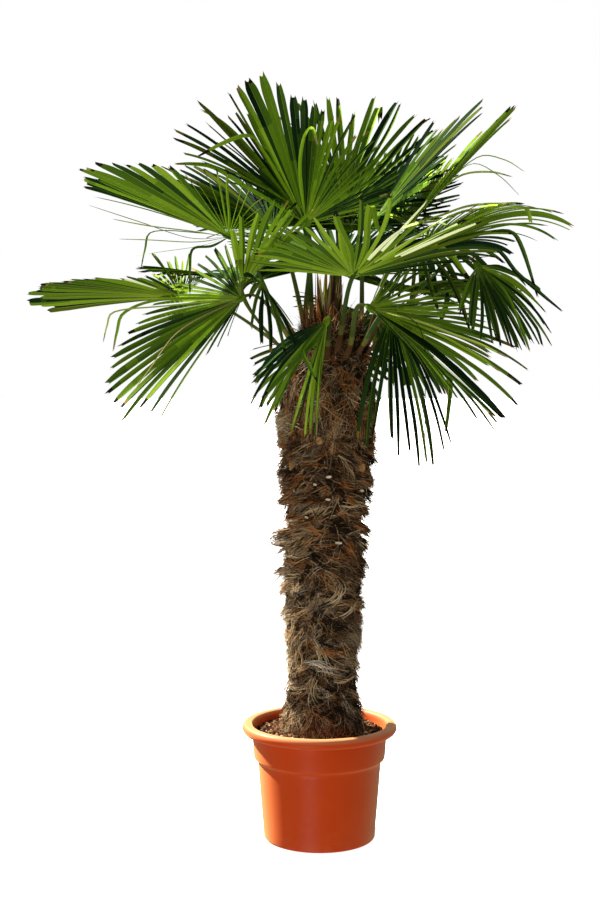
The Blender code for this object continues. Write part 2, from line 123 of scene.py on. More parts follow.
def pot_material():
    """Matt orange nursery plastic: faint cloudiness, dust low down and a painted highlight on top of the rim."""
    m = principled("pot_plastic", (0.56, 0.048, 0.002), 0.42, 0.10)
    b = m.node_tree.nodes["Principled BSDF"]
    b.inputs["Sheen Weight"].default_value = 0.50
    b.inputs["Sheen Roughness"].default_value = 0.45
    b.inputs["Sheen Tint"].default_value = (1.0, 0.80, 0.30, 1.0)
    co = add_node(m, "ShaderNodeTexCoord")
    cloud = add_node(m, "ShaderNodeTexNoise", Scale=5.0, Detail=4.0, Roughness=0.6)
    link(m, co, "Object", cloud, "Vector")
    tone = ramp(m, [(0.30, (0.525, 0.043, 0.0015)), (0.52, (0.560, 0.048, 0.002)), (0.75, (0.600, 0.055, 0.003))])
    link(m, cloud, "Fac", tone, "Fac")
    split = add_node(m, "ShaderNodeSeparateXYZ")
    link(m, co, "Object", split, "Vector")
    # dust on the lowest part of the wall
    low = grey_ramp(m, [(0.0, 1.0), (0.10, 0.0)])
    link(m, split, "Z", low, "Fac")
    grit = add_node(m, "ShaderNodeTexNoise", Scale=38.0, Detail=6.0, Roughness=0.7)
    link(m, co, "Object", grit, "Vector")
    speck = grey_ramp(m, [(0.46, 0.0), (0.62, 1.0)])
    link(m, grit, "Fac", speck, "Fac")
    dust = add_node(m, "ShaderNodeMath", operation="MULTIPLY")
    link(m, low, "Color", dust, 0)
    link(m, speck, "Color", dust, 1)
    amount = add_node(m, "ShaderNodeMath", operation="MULTIPLY")
    amount.inputs[1].default_value = 0.10
    link(m, dust, "Value", amount, 0)
    mix = add_node(m, "ShaderNodeMixRGB")
    mix.inputs["Color2"].default_value = (0.30, 0.20, 0.13, 1.0)
    link(m, amount, "Value", mix, "Fac")
    link(m, tone, "Color", mix, "Color1")
    # painted highlight: the top of the rolled rim is mixed towards a pale orange, standing in for sunlight on it
    high = grey_ramp(m, [(0.376, 0.0), (0.391, 0.58)])
    link(m, split, "Z", high, "Fac")
    rim_highlight = add_node(m, "ShaderNodeMixRGB")
    rim_highlight.inputs["Color2"].default_value = (0.86, 0.42, 0.20, 1.0)
    link(m, high, "Color", rim_highlight, "Fac")
    link(m, mix, "Color", rim_highlight, "Color1")
    link(m, rim_highlight, "Color", b, "Base Color")
    rough = grey_ramp(m, [(0.35, 0.34), (0.70, 0.50)])
    link(m, grit, "Fac", rough, "Fac")
    link(m, rough, "Color", b, "Roughness")
    bump = add_node(m, "ShaderNodeBump", Strength=0.10, Distance=0.0006)
    link(m, grit, "Fac", bump, "Height")
    link(m, bump, "Normal", b, "Normal")
    return m


def mottled(name, stops, scale, rough, bump=0.4, distance=0.003):
    """Colour mottled by two sizes of noise, for soil and for the bark under the fibres."""
    m = principled(name, stops[0][1], rough, 0.25)
    b = m.node_tree.nodes["Principled BSDF"]
    co = add_node(m, "ShaderNodeTexCoord")
    big = add_node(m, "ShaderNodeTexNoise", Scale=scale, Detail=8.0, Roughness=0.68)
    link(m, co, "Object", big, "Vector")
    tone = ramp(m, stops)
    link(m, big, "Fac", tone, "Fac")
    link(m, tone, "Color", b, "Base Color")
    fine = add_node(m, "ShaderNodeTexNoise", Scale=scale * 9.0, Detail=4.0, Roughness=0.7)
    link(m, co, "Object", fine, "Vector")
    rr = grey_ramp(m, [(0.3, min(1.0, rough + 0.05)), (0.7, rough - 0.12)])
    link(m, fine, "Fac", rr, "Fac")
    link(m, rr, "Color", b, "Roughness")
    bp = add_node(m, "ShaderNodeBump", Strength=bump, Distance=distance)
    link(m, fine, "Fac", bp, "Height")
    link(m, bp, "Normal", b, "Normal")
    return m


POT = pot_material()
EARTH = mottled("soil_earth", [(0.30, (0.020, 0.009, 0.005)), (0.50, (0.060, 0.024, 0.010)),
                               (0.70, (0.120, 0.050, 0.020))], 26.0, 0.95)
BARK = mottled("trunk_bark", [(0.28, (0.014, 0.008, 0.004)), (0.48, (0.050, 0.026, 0.012)),
                              (0.64, (0.140, 0.060, 0.022)), (0.80, (0.220, 0.125, 0.055))], 14.0, 0.95, 0.6, 0.004)
CHIP = [principled("chip_dark", (0.026, 0.010, 0.005), 0.9, 0.08),
        principled("chip_red", (0.200, 0.070, 0.026), 0.88, 0.08),
        principled("chip_brown", (0.105, 0.048, 0.022), 0.9, 0.08),
        principled("chip_golden", (0.380, 0.215, 0.095), 0.86, 0.08),
        principled("chip_pale", (0.640, 0.440, 0.250), 0.86, 0.08)]
STUB = [principled("stub_side", (0.130, 0.062, 0.026), 0.8, 0.1),
        principled("stub_cut", (0.700, 0.600, 0.420), 0.75, 0.1),
        principled("stub_strap", (0.380, 0.200, 0.070), 0.75, 0.1)]
STALK = [principled("stalk_sheath", (0.100, 0.046, 0.016), 0.80, 0.08),
         principled("stalk_yellow", (0.165, 0.160, 0.026), 0.55, 0.12),
         principled("stalk_olive", (0.075, 0.100, 0.014), 0.52, 0.12),
         principled("stalk_green", (0.040, 0.078, 0.009), 0.50, 0.12)]


# ================================================================ mesh helpers
def make_mesh(name, verts, quads, mats, mat_index=None, tris=None, tri_index=None, smooth=False):
    """Object from arrays of vertices, quads and triangles."""
    verts = np.ascontiguousarray(verts, np.float32).reshape(-1, 3)
    quads = np.asarray(quads, np.int32).reshape(-1, 4)
    tris = np.zeros((0, 3), np.int32) if tris is None else np.asarray(tris, np.int32).reshape(-1, 3)
    me = bpy.data.meshes.new(name)
    me.vertices.add(len(verts))
    me.vertices.foreach_set("co", verts.ravel())
    me.loops.add(quads.size + tris.size)
    me.loops.foreach_set("vertex_index", np.concatenate([quads.ravel(), tris.ravel()]))
    nf = len(quads) + len(tris)
    me.polygons.add(nf)
    totals = np.concatenate([np.full(len(quads), 4), np.full(len(tris), 3)]).astype(np.int32)
    starts = np.concatenate([[0], np.cumsum(totals)[:-1]]).astype(np.int32) if nf else totals
    me.polygons.foreach_set("loop_start", starts)
    me.polygons.foreach_set("loop_total", totals)
    for m in mats:
        me.materials.append(m)
    if mat_index is not None or tri_index is not None:
        a = np.zeros(len(quads), np.int32) if mat_index is None else np.asarray(mat_index, np.int32).ravel()
        b = np.zeros(len(tris), np.int32) if tri_index is None else np.asarray(tri_index, np.int32).ravel()
        me.polygons.foreach_set("material_index", np.concatenate([a, b]))
    me.polygons.foreach_set("use_smooth", np.full(nf, smooth))
    me.update(calc_edges=True)
    me.validate()
    ob = bpy.data.objects.new(name, me)
    bpy.context.scene.collection.objects.link(ob)
    return ob


def piece(ob, slot, *nodes):
    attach(ob, "root")
    if nodes:
        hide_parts(*nodes)
    return ob


def unit(v):
    return v / np.maximum(np.linalg.norm(v, axis=-1, keepdims=True), 1e-9)


def grid_quads(rows, cols, closed=False):
    """Quads of one rows x cols sheet; closed joins the last column to the first."""
    r = np.arange(rows - 1)[:, None]
    c = np.arange(cols if closed else cols - 1)[None, :]
    c2 = (c + 1) % cols
    return np.stack([r * cols + c, r * cols + c2, (r + 1) * cols + c2, (r + 1) * cols + c], -1).reshape(-1, 4)


def many_quads(count, rows, cols):
    """Quads of count separate rows x cols sheets laid one after another."""
    q = grid_quads(rows, cols)
    return (q[None] + (np.arange(count) * rows * cols)[:, None, None]).reshape(-1, 4)


def pick(rng, weights, size):
    w = np.asarray(weights, float)
    return rng.choice(len(w), size=size, p=w / w.sum())


class Waves:
    """Smooth seeded noise over an angle and a height, about -1 to 1."""

    def __init__(self, rng, ks, ls, n):
        self.k = rng.integers(ks[0], ks[1] + 1, n)
        self.l = rng.uniform(ls[0], ls[1], n) * rng.choice([-1, 1], n)
        self.p = rng.uniform(0, 2 * math.pi, n)
        self.a = rng.uniform(0.5, 1.0, n)
        self.a /= np.sqrt((self.a ** 2).sum() / 2) * 1.6

    def __call__(self, phi, z):
        phi, z = np.asarray(phi, float), np.asarray(z, float)
        out = np.zeros(np.broadcast(phi, z).shape)
        for k, l, p, a in zip(self.k, self.l, self.p, self.a):
            out += a * np.cos(k * phi + l * z + p)
        return out


# ================================================================ pot and soil
SOIL_TOP = 0.365
TRUNK_TOP = 1.686
TRUNK_TOP_X = 0.034
POT_WIDE, POT_HIGH = 1.0196, 0.940      # the profiles below are drawn for a pot 0.510 wide and 0.418 high


def lathe(name, profile, sides, mats, mat_of=None, wobble=None):
    """Turned shape from a profile of (radius, z) that starts and ends on the axis."""
    prof = np.array(profile, float)
    mid = prof[1:-1]
    a = np.arange(sides) / sides * 2 * math.pi
    r = mid[:, 0][:, None] * np.ones(sides)[None]
    z = mid[:, 1][:, None] * np.ones(sides)[None]
    if wobble is not None:
        r, z = wobble(r, z, a)
    ring = np.stack([r * np.cos(a), r * np.sin(a), z], -1).reshape(-1, 3)
    verts = np.vstack([ring, [[0, 0, prof[0, 1]]], [[0, 0, prof[-1, 1]]]])
    q = grid_quads(len(mid), sides, closed=True)
    i = np.arange(sides)
    j = (i + 1) % sides
    first, last = len(ring), len(ring) + 1
    base = (len(mid) - 1) * sides
    t = np.vstack([np.stack([np.full(sides, first), j, i], -1),
                   np.stack([np.full(sides, last), base + i, base + j], -1)])
    return make_mesh(name, verts, q, mats, tris=t, smooth=True)


def arc(cx, cz, rx, rz, a0, a1, n):
    return [(cx + rx * math.cos(math.radians(a0 + (a1 - a0) * k / n)),
             cz + rz * math.sin(math.radians(a0 + (a1 - a0) * k / n))) for k in range(n + 1)]


def make_pot():
    p = [(0.0, 0.0), (0.090, 0.0), (0.170, 0.0)]
    p += arc(0.1745, 0.0095, 0.0095, 0.0095, -84, -4, 7)
    p += [(0.1860, 0.040), (0.1915, 0.112), (0.1970, 0.188), (0.2020, 0.262), (0.2034, 0.2755)]
    p += [(0.2044, 0.2800), (0.2066, 0.2842), (0.2098, 0.2874), (0.2130, 0.2894), (0.2153, 0.2920),
          (0.2165, 0.2955), (0.2170, 0.3000), (0.2188, 0.3270), (0.2208, 0.3560), (0.2222, 0.3760)]
    p += [(0.2229, 0.3806), (0.2254, 0.3826), (0.2310, 0.3826)]
    p += arc(0.2415, 0.4000, 0.0135, 0.0178, -88, 92, 18)
    p += arc(0.2340, 0.4065, 0.0130, 0.0113, 96, 176, 8)
    p += [(0.2196, 0.4000), (0.2186, 0.3900), (0.2170, 0.3700), (0.2120, 0.3000), (0.2115, 0.2960),
          (0.1990, 0.2800), (0.1780, 0.0100), (0.120, 0.0062), (0.0, 0.0060)]
    ob = lathe("pot_shell", [(r * POT_WIDE, z * POT_HIGH) for r, z in p], 160, [POT])
    ob.data.set_sharp_from_angle(angle=math.radians(50))
    return piece(ob, "pot", "pot")


def make_soil():
    rng = rng_for("soil")
    w1, w2 = Waves(rng, (2, 7), (10, 40), 9), Waves(rng, (9, 26), (60, 160), 12)
    radii = np.concatenate([np.linspace(0.02, 0.2210, 44)])
    prof = [(0.0, 0.0065)] + [(0.1810, 0.0066), (0.2015, 0.2635), (0.2146, 0.2785), (0.2208, 0.3550)]
    prof += [(r, SOIL_TOP) for r in radii[::-1]] + [(0.0, SOIL_TOP)]

    def wobble(r, z, a):
        top = z > SOIL_TOP - 0.001
        edge = np.clip((0.2210 - r) / 0.03, 0, 1)
        h = w1(a[None, :], r) * 0.0035 + w2(a[None, :], r) * 0.0018 - 0.004 * (1 - edge)
        h = h + 0.006 * np.clip((0.17 - r) / 0.06, 0, 1)
        return r, np.where(top, z + h - 0.002, z)

    piece(lathe("soil_bed", prof, 144, [EARTH], wobble=wobble), "soil", "soil")

    # bark crumbs: small uneven eight-faced lumps and flakes, joined
    n = 2600
    a = rng.uniform(0, 2 * math.pi, n)
    r = 0.216 * np.sqrt(rng.uniform(0.20, 1.0, n))
    size = rng.uniform(0.0026, 0.0060, n) * np.where(rng.random(n) < 0.10, 1.7, 1.0)
    flat = rng.uniform(0.35, 0.9, n)
    z = SOIL_TOP + w1(a, r) * 0.0035 + 0.006 * np.clip((0.17 - r) / 0.06, 0, 1) - 0.001 - 0.004 * (r > 0.19)
    z = z + size * flat * rng.uniform(0.1, 0.9, n)
    oct_v = np.array([[1, 0, 0], [0.35, 0.8, 0.1], [-0.7, 0.6, -0.1], [-1, -0.1, 0], [-0.3, -0.85, 0.1],
                      [0.7, -0.6, 0], [0, 0, 1], [0, 0, -1]], float)
    oct_f = np.array([[i, (i + 1) % 6, 6] for i in range(6)] + [[(i + 1) % 6, i, 7] for i in range(6)])
    v = oct_v[None] * (1 + rng.uniform(-0.32, 0.32, (n, 8, 1)))
    v = v * np.stack([rng.uniform(0.8, 1.7, n), np.ones(n), flat], -1)[:, None, :]
    tilt = rng.uniform(-0.6, 0.6, n)
    spin = rng.uniform(0, 2 * math.pi, n)
    ct, st, cs, ss = np.cos(tilt), np.sin(tilt), np.cos(spin), np.sin(spin)
    x, y, zz = v[..., 0], v[..., 1], v[..., 2]
    x, zz = x * ct[:, None] - zz * st[:, None], x * st[:, None] + zz * ct[:, None]
    x, y = x * cs[:, None] - y * ss[:, None], x * ss[:, None] + y * cs[:, None]
    v = np.stack([x, y, zz], -1) * size[:, None, None]
    rr = np.minimum(r, 0.2183 - size * 1.3)
    v += np.stack([rr * np.cos(a), rr * np.sin(a), z], -1)[:, None, :]
    tone = pick(rng, [0.36, 0.27, 0.16, 0.14, 0.07], n)
    f = (oct_f[None] + (np.arange(n) * 8)[:, None, None]).reshape(-1, 3)
    ob = make_mesh("soil_crumbs", v, np.zeros((0, 4)), CHIP, tris=f, tri_index=np.repeat(tone, 12))
    piece(ob, "soil")


# ================================================================ trunk
TR = np.array([(SOIL_TOP, 0.134), (0.40, 0.130), (0.43, 0.122), (0.47, 0.107), (0.53, 0.0985), (0.64, 0.100),
               (0.74, 0.107), (0.81, 0.112), (0.87, 0.115), (0.94, 0.117), (1.01, 0.125), (1.076, 0.117),
               (1.143, 0.130), (1.21, 0.141), (1.28, 0.142), (1.345, 0.152), (1.42, 0.157), (1.50, 0.153),
               (1.56, 0.130), (1.62, 0.112), (TRUNK_TOP, 0.086)])


def trad(z):
    return np.interp(z, TR[:, 0], TR[:, 1])


def tcx(z):
    u = np.clip((np.asarray(z) - SOIL_TOP) / (TRUNK_TOP - SOIL_TOP), 0, 1.2)
    return 0.010 + (TRUNK_TOP_X - 0.010) * u ** 2


def on_trunk(phi, z, h):
    """World point at angle phi (0 = front, + to the right), height z, h outside the trunk's radius."""
    r = trad(z) + h
    return np.stack([tcx(z) + r * np.sin(phi), -r * np.cos(phi), z + 0 * phi], -1)


def make_core():
    """The trunk under its fibres: leaf-base scars in tiers and matted ridges, as real relief."""
    rng = rng_for("core")
    rows, cols = 300, 150
    z = np.linspace(SOIL_TOP - 0.006, TRUNK_TOP, rows)[:, None]
    phi = (np.arange(cols) / cols * 2 * math.pi)[None, :]
    big, mid, fine = Waves(rng, (1, 4), (8, 26), 8), Waves(rng, (4, 14), (40, 110), 14), Waves(rng, (14, 40), (120, 420), 22)
    # overlapping scales: saw-tooth steps in height, shifted round the trunk like a screw
    step = ((z / 0.046 + phi * 5 / (2 * math.pi) + 0.45 * big(phi, z)) % 1.0)
    scale = (step ** 1.4) * 0.013
    h = -0.029 + scale + 0.0055 * big(phi, z) + 0.0040 * mid(phi, z) + 0.0025 * fine(phi, z)
    h = np.where(z > 1.62, h * 1.0 - 0.03 * (z - 1.62) / 0.065, h)
    v = on_trunk(phi + 0 * z, z + 0 * phi, h)
    top = np.array([[tcx(TRUNK_TOP), 0, TRUNK_TOP + 0.004]])
    bottom = np.array([[tcx(SOIL_TOP), 0, SOIL_TOP - 0.006]])
    verts = np.vstack([v.reshape(-1, 3), bottom, top])
    q = grid_quads(rows, cols, closed=True)
    i = np.arange(cols)
    j = (i + 1) % cols
    base = (rows - 1) * cols
    t = np.vstack([np.stack([np.full(cols, rows * cols), j, i], -1),
                   np.stack([np.full(cols, rows * cols + 1), base + i, base + j], -1)])
    ob = make_mesh("trunk_relief", verts, q, [BARK], tris=t, smooth=True)
    return piece(ob, "trunk", "trunk")


def clumps(rng, n, per, phi, z, sgn, pitch, length, lift, power, curl, width, tone, spread=(0.010, 0.007),
           gather=0.7, h0=-0.010, hs=0.009, rows=5, wob=0.004, mixed=0.15):
    """Bundles of fibres as tapering ribbons.  Each argument is a number or an array of n values.

    A bundle starts on the trunk at phi, z, runs round it in the direction sgn with a downward pitch
    that changes by curl, and stands off by lift * t ** power.  gather draws its tips together.
    Returns vertices (bundle fibres, rows, 2, 3) and a tone for each fibre."""
    full = [np.repeat(np.broadcast_to(np.asarray(a, float), (n,)), per) for a in
            (phi, z, sgn, pitch, length, lift, power, curl, width, gather, h0)]
    phi, z, sgn, pitch, length, lift, power, curl, width, gather, h0 = full
    tone = np.repeat(np.broadcast_to(np.asarray(tone), (n,)), per)
    m = n * per
    # a few strands of a bundle are a shade away from the rest
    off = rng.random(m)
    tone = np.where(off < mixed * 0.5, F_DARK, np.where(off < mixed, F_TAN, tone))
    t = np.linspace(0, 1, rows)[None, :]
    length = length * rng.uniform(0.55, 1.12, m)
    lift = lift * rng.uniform(0.55, 1.15, m)
    pitch = pitch + rng.normal(0, 0.10, m)
    curl = curl + rng.normal(0, 0.25, m)
    ang = pitch[:, None] + curl[:, None] * t
    ds = (length / (rows - 1))[:, None]
    along = np.cumsum(np.cos(ang) * ds, 1) - np.cos(ang) * ds
    down = np.cumsum(np.sin(ang) * ds, 1) - np.sin(ang) * ds
    r0 = trad(z)
    off_a = rng.normal(0, spread[0], m)
    off_z = rng.normal(0, spread[1], m)
    keep = 1 - gather[:, None] * t ** 1.1
    ph = phi[:, None] + (sgn[:, None] * along + off_a[:, None] * keep + rng.normal(0, wob, (m, 1)) * t) / r0[:, None]
    zz = z[:, None] - down + off_z[:, None] * keep + rng.normal(0, wob, (m, 1)) * t ** 2
    h = h0[:, None] + rng.uniform(0, hs, m)[:, None] + lift[:, None] * t ** power[:, None]
    h = h + rng.normal(0, wob * 0.35, (m, rows))
    # never into the soil
    zz = np.maximum(zz, SOIL_TOP + 0.003 + 0.002 * rng.random((m, 1)))
    p = on_trunk(ph, zz, h)
    tan = unit(np.gradient(p, axis=1))
    out = np.stack([np.sin(ph), -np.cos(ph), 0 * ph], -1)
    side = unit(np.cross(tan, out))
    roll = rng.uniform(-1.0, 1.0, m)[:, None, None]
    wv = side * np.cos(roll) + unit(np.cross(side, tan)) * np.sin(roll)
    w = (width * rng.uniform(0.7, 1.3, m))[:, None] * (1 - 0.86 * t ** 1.2) / 2
    return np.stack([p - wv * w[..., None], p + wv * w[..., None]], 2), tone


def fibre_piece(name, parts, slot="trunk"):
    verts, index = [], []
    quads, base = [], 0
    for v, tone in parts:
        m, rows = v.shape[:2]
        quads.append(many_quads(m, rows, 2) + base)
        base += m * rows * 2
        verts.append(v.reshape(-1, 3))
        index.append(np.repeat(tone, rows - 1))
    ob = make_mesh(name, np.vstack(verts), np.vstack(quads), FIBRE, mat_index=np.concatenate(index))
    return piece(ob, slot)


def zone_tone(rng, phi, z, patch):
    """Fibre colour by height, with rust and pale patches from smooth noise."""
    n = len(z)
    pale = patch[0](phi, z)
    rust = patch[1](phi, z)
    #                 dark  brown grey  rust  tan   straw pale
    head = pick(rng, [0.34, 0.34, 0.03, 0.17, 0.10, 0.02, 0.0], n)
    sheath = pick(rng, [0.22, 0.34, 0.03, 0.26, 0.13, 0.02, 0.0], n)
    upper = pick(rng, [0.30, 0.32, 0.07, 0.15, 0.11, 0.05, 0.0], n)
    lower = pick(rng, [0.37, 0.20, 0.11, 0.04, 0.13, 0.12, 0.03], n)
    foot = pick(rng, [0.38, 0.24, 0.10, 0.09, 0.10, 0.08, 0.01], n)
    zj = z + rng.normal(0, 0.02, n)
    out = np.where(zj > 1.52, head, np.where(zj > 1.38, sheath, np.where(zj > 0.79, upper, np.where(zj > 0.45, lower, foot))))
    # rust patches on the upper part, straw ones below, and dark hollows everywhere
    swap = (rust > 0.45) & (zj > 0.60) & (rng.random(n) < 0.5)
    out = np.where(swap, pick(rng, [0.10, 0.22, 0.0, 0.54, 0.12, 0.02, 0.0], n), out)
    swap = (rust < np.where(zj < 0.84, -0.25, -0.50)) & (rng.random(n) < 0.6)
    out = np.where(swap, pick(rng, [0.66, 0.30, 0.02, 0.02, 0.0, 0.0, 0.0], n), out)
    swap = (pale > 0.35) & (zj < 0.84) & (rng.random(n) < 0.6)
    out = np.where(swap, pick(rng, [0.03, 0.07, 0.22, 0.02, 0.33, 0.27, 0.06], n), out)
    return out


TIERS = np.array([1.340, 1.290, 1.245, 1.205, 1.165, 1.110, 1.045, 1.000, 0.950, 0.905, 0.860, 0.805, 0.760])
# tufts that stand clear of the trunk's side in the front view: angle from the front, height, reach, pitch, tone. The
# tones are paler on the left, the sunlit side, and darker on the right: painted light and shade.
FLYING = ((96, 1.290, 0.050, 0.55, 0), (92, 1.225, 0.040, 0.70, 1), (95, 1.165, 0.052, 0.55, 0), (93, 1.110, 0.034, 0.8, 1),
          (96, 1.045, 0.058, 0.60, 0), (92, 1.000, 0.040, 0.65, 0), (94, 0.935, 0.048, 0.75, 1), (96, 0.900, 0.040, 0.60, 0),
          (96, 0.805, 0.055, 0.55, 0), (92, 0.750, 0.045, 0.80, 2), (-94, 1.020, 0.090, 0.20, 1), (-92, 0.985, 0.075, 0.30, 2),
          (-94, 0.900, 0.080, 0.30, 2), (-92, 0.860, 0.050, 0.60, 4), (-93, 1.140, 0.045, 0.50, 4), (-95, 0.775, 0.050, 0.50, 5),
          (-92, 0.700, 0.045, 0.60, 5), (-94, 1.240, 0.040, 0.60, 1), (-93, 0.640, 0.040, 0.50, 6), (94, 0.600, 0.040, 0.9, 4))


def make_fibres():
    rng = rng_for("fibres")
    patch = (Waves(rng, (1, 3), (8, 22), 7), Waves(rng, (2, 6), (14, 40), 9))
    swirl = Waves(rng, (1, 3), (10, 30), 7)

    # 1. a close dark undercoat, then swept tiers from under the crown down to the lower third
    n = 900
    z = rng.uniform(0.40, 1.50, n)
    phi = rng.uniform(-math.pi, math.pi, n)
    parts = [clumps(rng, n, 7, phi, z, rng.choice([-1, 1], n), rng.normal(0.3, 0.5, n), rng.uniform(0.05, 0.09, n),
                    rng.uniform(0.000, 0.008, n), 1.5, rng.normal(0.2, 0.5, n), rng.uniform(0.0030, 0.0060, n),
                    pick(rng, [0.50, 0.34, 0.04, 0.10, 0.02, 0, 0], n), h0=-0.018, rows=4)]
    n = 1750
    z = rng.uniform(0.74, 1.42, n)
    phi = rng.uniform(-math.pi, math.pi, n)
    tier = TIERS[np.argmin(np.abs(z[:, None] - TIERS[None] - 0.018 * swirl(phi, 3 * z)[:, None]), 1)] + 0.018 * swirl(phi, 3 * z)
    z = np.where(rng.random(n) < 0.65, tier + rng.normal(0, 0.007, n), z)
    sgn = np.where(np.sin(phi) + 0.9 * swirl(phi, z) > 0, 1, -1)
    parts.append(clumps(rng, n, 9, phi, z, sgn, rng.normal(0.12, 0.30, n), rng.uniform(0.045, 0.105, n),
                        rng.uniform(0.004, 0.024, n), rng.uniform(1.1, 2.2, n), rng.normal(0.30, 0.45, n),
                        rng.uniform(0.0020, 0.0044, n), zone_tone(rng, phi, z, patch), h0=-0.012, gather=0.8))
    fibre_piece("fibres_swept", parts)

    # 2. spiky tufts that stand off in tiers
    n = 820
    phi = rng.uniform(-math.pi, math.pi, n)
    z = TIERS[rng.integers(0, len(TIERS), n)] + 0.018 * swirl(phi, 3.0) + rng.normal(0, 0.012, n)
    sgn = np.where(np.sin(phi) + 0.5 * swirl(phi, z) > 0, 1, -1)
    parts = [clumps(rng, n, 10, phi, z, sgn, rng.normal(0.50, 0.35, n), rng.uniform(0.045, 0.085, n),
                    rng.uniform(0.016, 0.040, n), rng.uniform(1.0, 1.5, n), rng.normal(0.35, 0.35, n),
                    rng.uniform(0.0026, 0.0046, n),
                    np.where(rng.random(n) < 0.45, pick(rng, [0.6, 0.3, 0.0, 0.1, 0, 0, 0], n), zone_tone(rng, phi, z, patch)),
                    gather=0.97, h0=-0.008, wob=0.003)]
    for deg, zc, reach, pitch, tone in FLYING:
        n = 5
        ph = math.radians(deg) - math.copysign(0.25, deg) + rng.normal(0, 0.10, n)
        parts.append(clumps(rng, n, 16, ph, zc + 0.012 + rng.normal(0, 0.008, n), math.copysign(1, deg), rng.normal(pitch, 0.15, n),
                            reach * 0.9 + 0.02, rng.uniform(0.65, 1.05, n) * reach, rng.uniform(0.8, 1.1, n), rng.normal(0.5, 0.3, n),
                            0.0034, np.where(rng.random(n) < 0.6, tone, F_BROWN), gather=0.92, h0=-0.006, wob=0.004))
    fibre_piece("fibres_tufts", parts)

    # 3. matted curls on the lower third
    n = 1180
    z = rng.uniform(0.40, 0.84, n)
    phi = rng.uniform(-math.pi, math.pi, n)
    sgn = rng.choice([-1, 1], n)
    parts = [clumps(rng, n, 8, phi, z, sgn, rng.uniform(-0.5, 1.5, n), rng.uniform(0.035, 0.090, n),
                    rng.uniform(0.004, 0.028, n), rng.uniform(0.8, 1.8, n), rng.normal(0.0, 1.7, n),
                    rng.uniform(0.0020, 0.0040, n), zone_tone(rng, phi, z, patch), spread=(0.010, 0.008),
                    gather=0.65, wob=0.005, rows=6)]
    n = 260
    z = rng.uniform(0.45, 0.86, n)
    phi = rng.uniform(-math.pi, math.pi, n)
    parts.append(clumps(rng, n, 12, phi, z, rng.choice([-1, 1], n), rng.normal(0.4, 0.5, n), rng.uniform(0.05, 0.09, n),
                        rng.uniform(0.008, 0.020, n), 1.2, rng.normal(0.3, 0.8, n), 0.0042,
                        pick(rng, [0.85, 0.15, 0, 0, 0, 0, 0], n), gather=0.85, h0=0.000, mixed=0.0, rows=4))
    n = 76
    z = rng.uniform(0.50, 0.84, n)
    phi = rng.uniform(-math.pi, math.pi, n)
    parts.append(clumps(rng, n, 13, phi, z, rng.choice([-1, 1], n), rng.normal(0.3, 0.5, n), rng.uniform(0.08, 0.14, n),
                        rng.uniform(0.020, 0.044, n), 1.0, rng.choice([-1, 1], n) * rng.uniform(0.6, 2.0, n), 0.0030,
                        pick(rng, [0, 0.08, 0.22, 0.04, 0.36, 0.26, 0.04], n), gather=0.8, h0=0.000, mixed=0.16, rows=7))
    # long drooping hair, mostly on the right and round the back
    n = 150
    phi = np.concatenate([rng.normal(1.30, 0.35, 80), rng.uniform(-math.pi, math.pi, n - 80)])
    z = rng.normal(0.700, 0.022, n)
    parts.append(clumps(rng, n, 9, phi, z, np.where(np.sin(phi) > 0, 1, -1), rng.normal(0.20, 0.2, n), rng.uniform(0.07, 0.12, n),
                        rng.uniform(0.022, 0.050, n), 0.8, rng.normal(1.35, 0.2, n), 0.0026,
                        pick(rng, [0.05, 0.15, 0.42, 0.0, 0.26, 0.10, 0.02], n), gather=0.5, rows=7))
    # foot: dry grass-like skirt lying out on the soil
    n = 520
    phi = rng.uniform(-math.pi, math.pi, n)
    z = rng.uniform(0.395, 0.480, n)
    # the skirt is pale on the left, the sunlit side, and dark elsewhere: painted sunlight and shade
    grass = np.where(np.sin(phi) < -0.55, pick(rng, [0.10, 0.12, 0.12, 0.06, 0.26, 0.28, 0.06], n),
                     pick(rng, [0.38, 0.26, 0.08, 0.10, 0.11, 0.07, 0], n))
    parts.append(clumps(rng, n, 9, phi, z, rng.choice([-1, 1], n), rng.normal(1.15, 0.3, n), rng.uniform(0.05, 0.095, n),
                        rng.uniform(0.002, 0.022, n), 1.5, rng.normal(0.0, 0.5, n), 0.0030, grass,
                        gather=0.4, spread=(0.014, 0.008)))
    fibre_piece("fibres_lower", parts)

    # 4. upright sheath fibres under the crown
    n = 620
    phi = rng.uniform(-math.pi, math.pi, n)
    z = rng.uniform(1.38, 1.62, n)
    parts = [clumps(rng, n, 11, phi, z, rng.choice([-1, 1], n), rng.normal(1.30, 0.28, n), rng.uniform(0.06, 0.13, n),
                    rng.uniform(0.002, 0.020, n), 1.3, rng.normal(0.0, 0.4, n), rng.uniform(0.0024, 0.0046, n),
                    zone_tone(rng, phi, z, patch), gather=0.6)]
    # the same, standing up round the petiole bases
    n = 380
    phi = rng.uniform(-math.pi, math.pi, n)
    z = rng.uniform(1.560, 1.675, n)
    parts.append(clumps(rng, n, 11, phi, z, rng.choice([-1, 1], n), rng.normal(-1.35, 0.25, n), rng.uniform(0.05, 0.13, n),
                        rng.uniform(-0.012, 0.030, n), 1.2, rng.normal(0.0, 0.6, n), rng.uniform(0.0024, 0.0046, n),
                        pick(rng, [0.32, 0.32, 0.02, 0.20, 0.10, 0.03, 0.01], n), gather=0.5))
    n = 170
    phi = rng.uniform(-math.pi, math.pi, n)
    z = rng.uniform(1.585, 1.690, n)
    parts.append(clumps(rng, n, 10, phi, z, rng.choice([-1, 1], n), rng.uniform(-1.3, 0.9, n), rng.uniform(0.05, 0.11, n),
                        rng.uniform(0.006, 0.030, n), 1.0, rng.normal(0.0, 1.6, n), rng.uniform(0.0024, 0.0044, n),
                        pick(rng, [0.50, 0.30, 0.02, 0.12, 0.06, 0, 0], n), gather=0.5, h0=0.006))
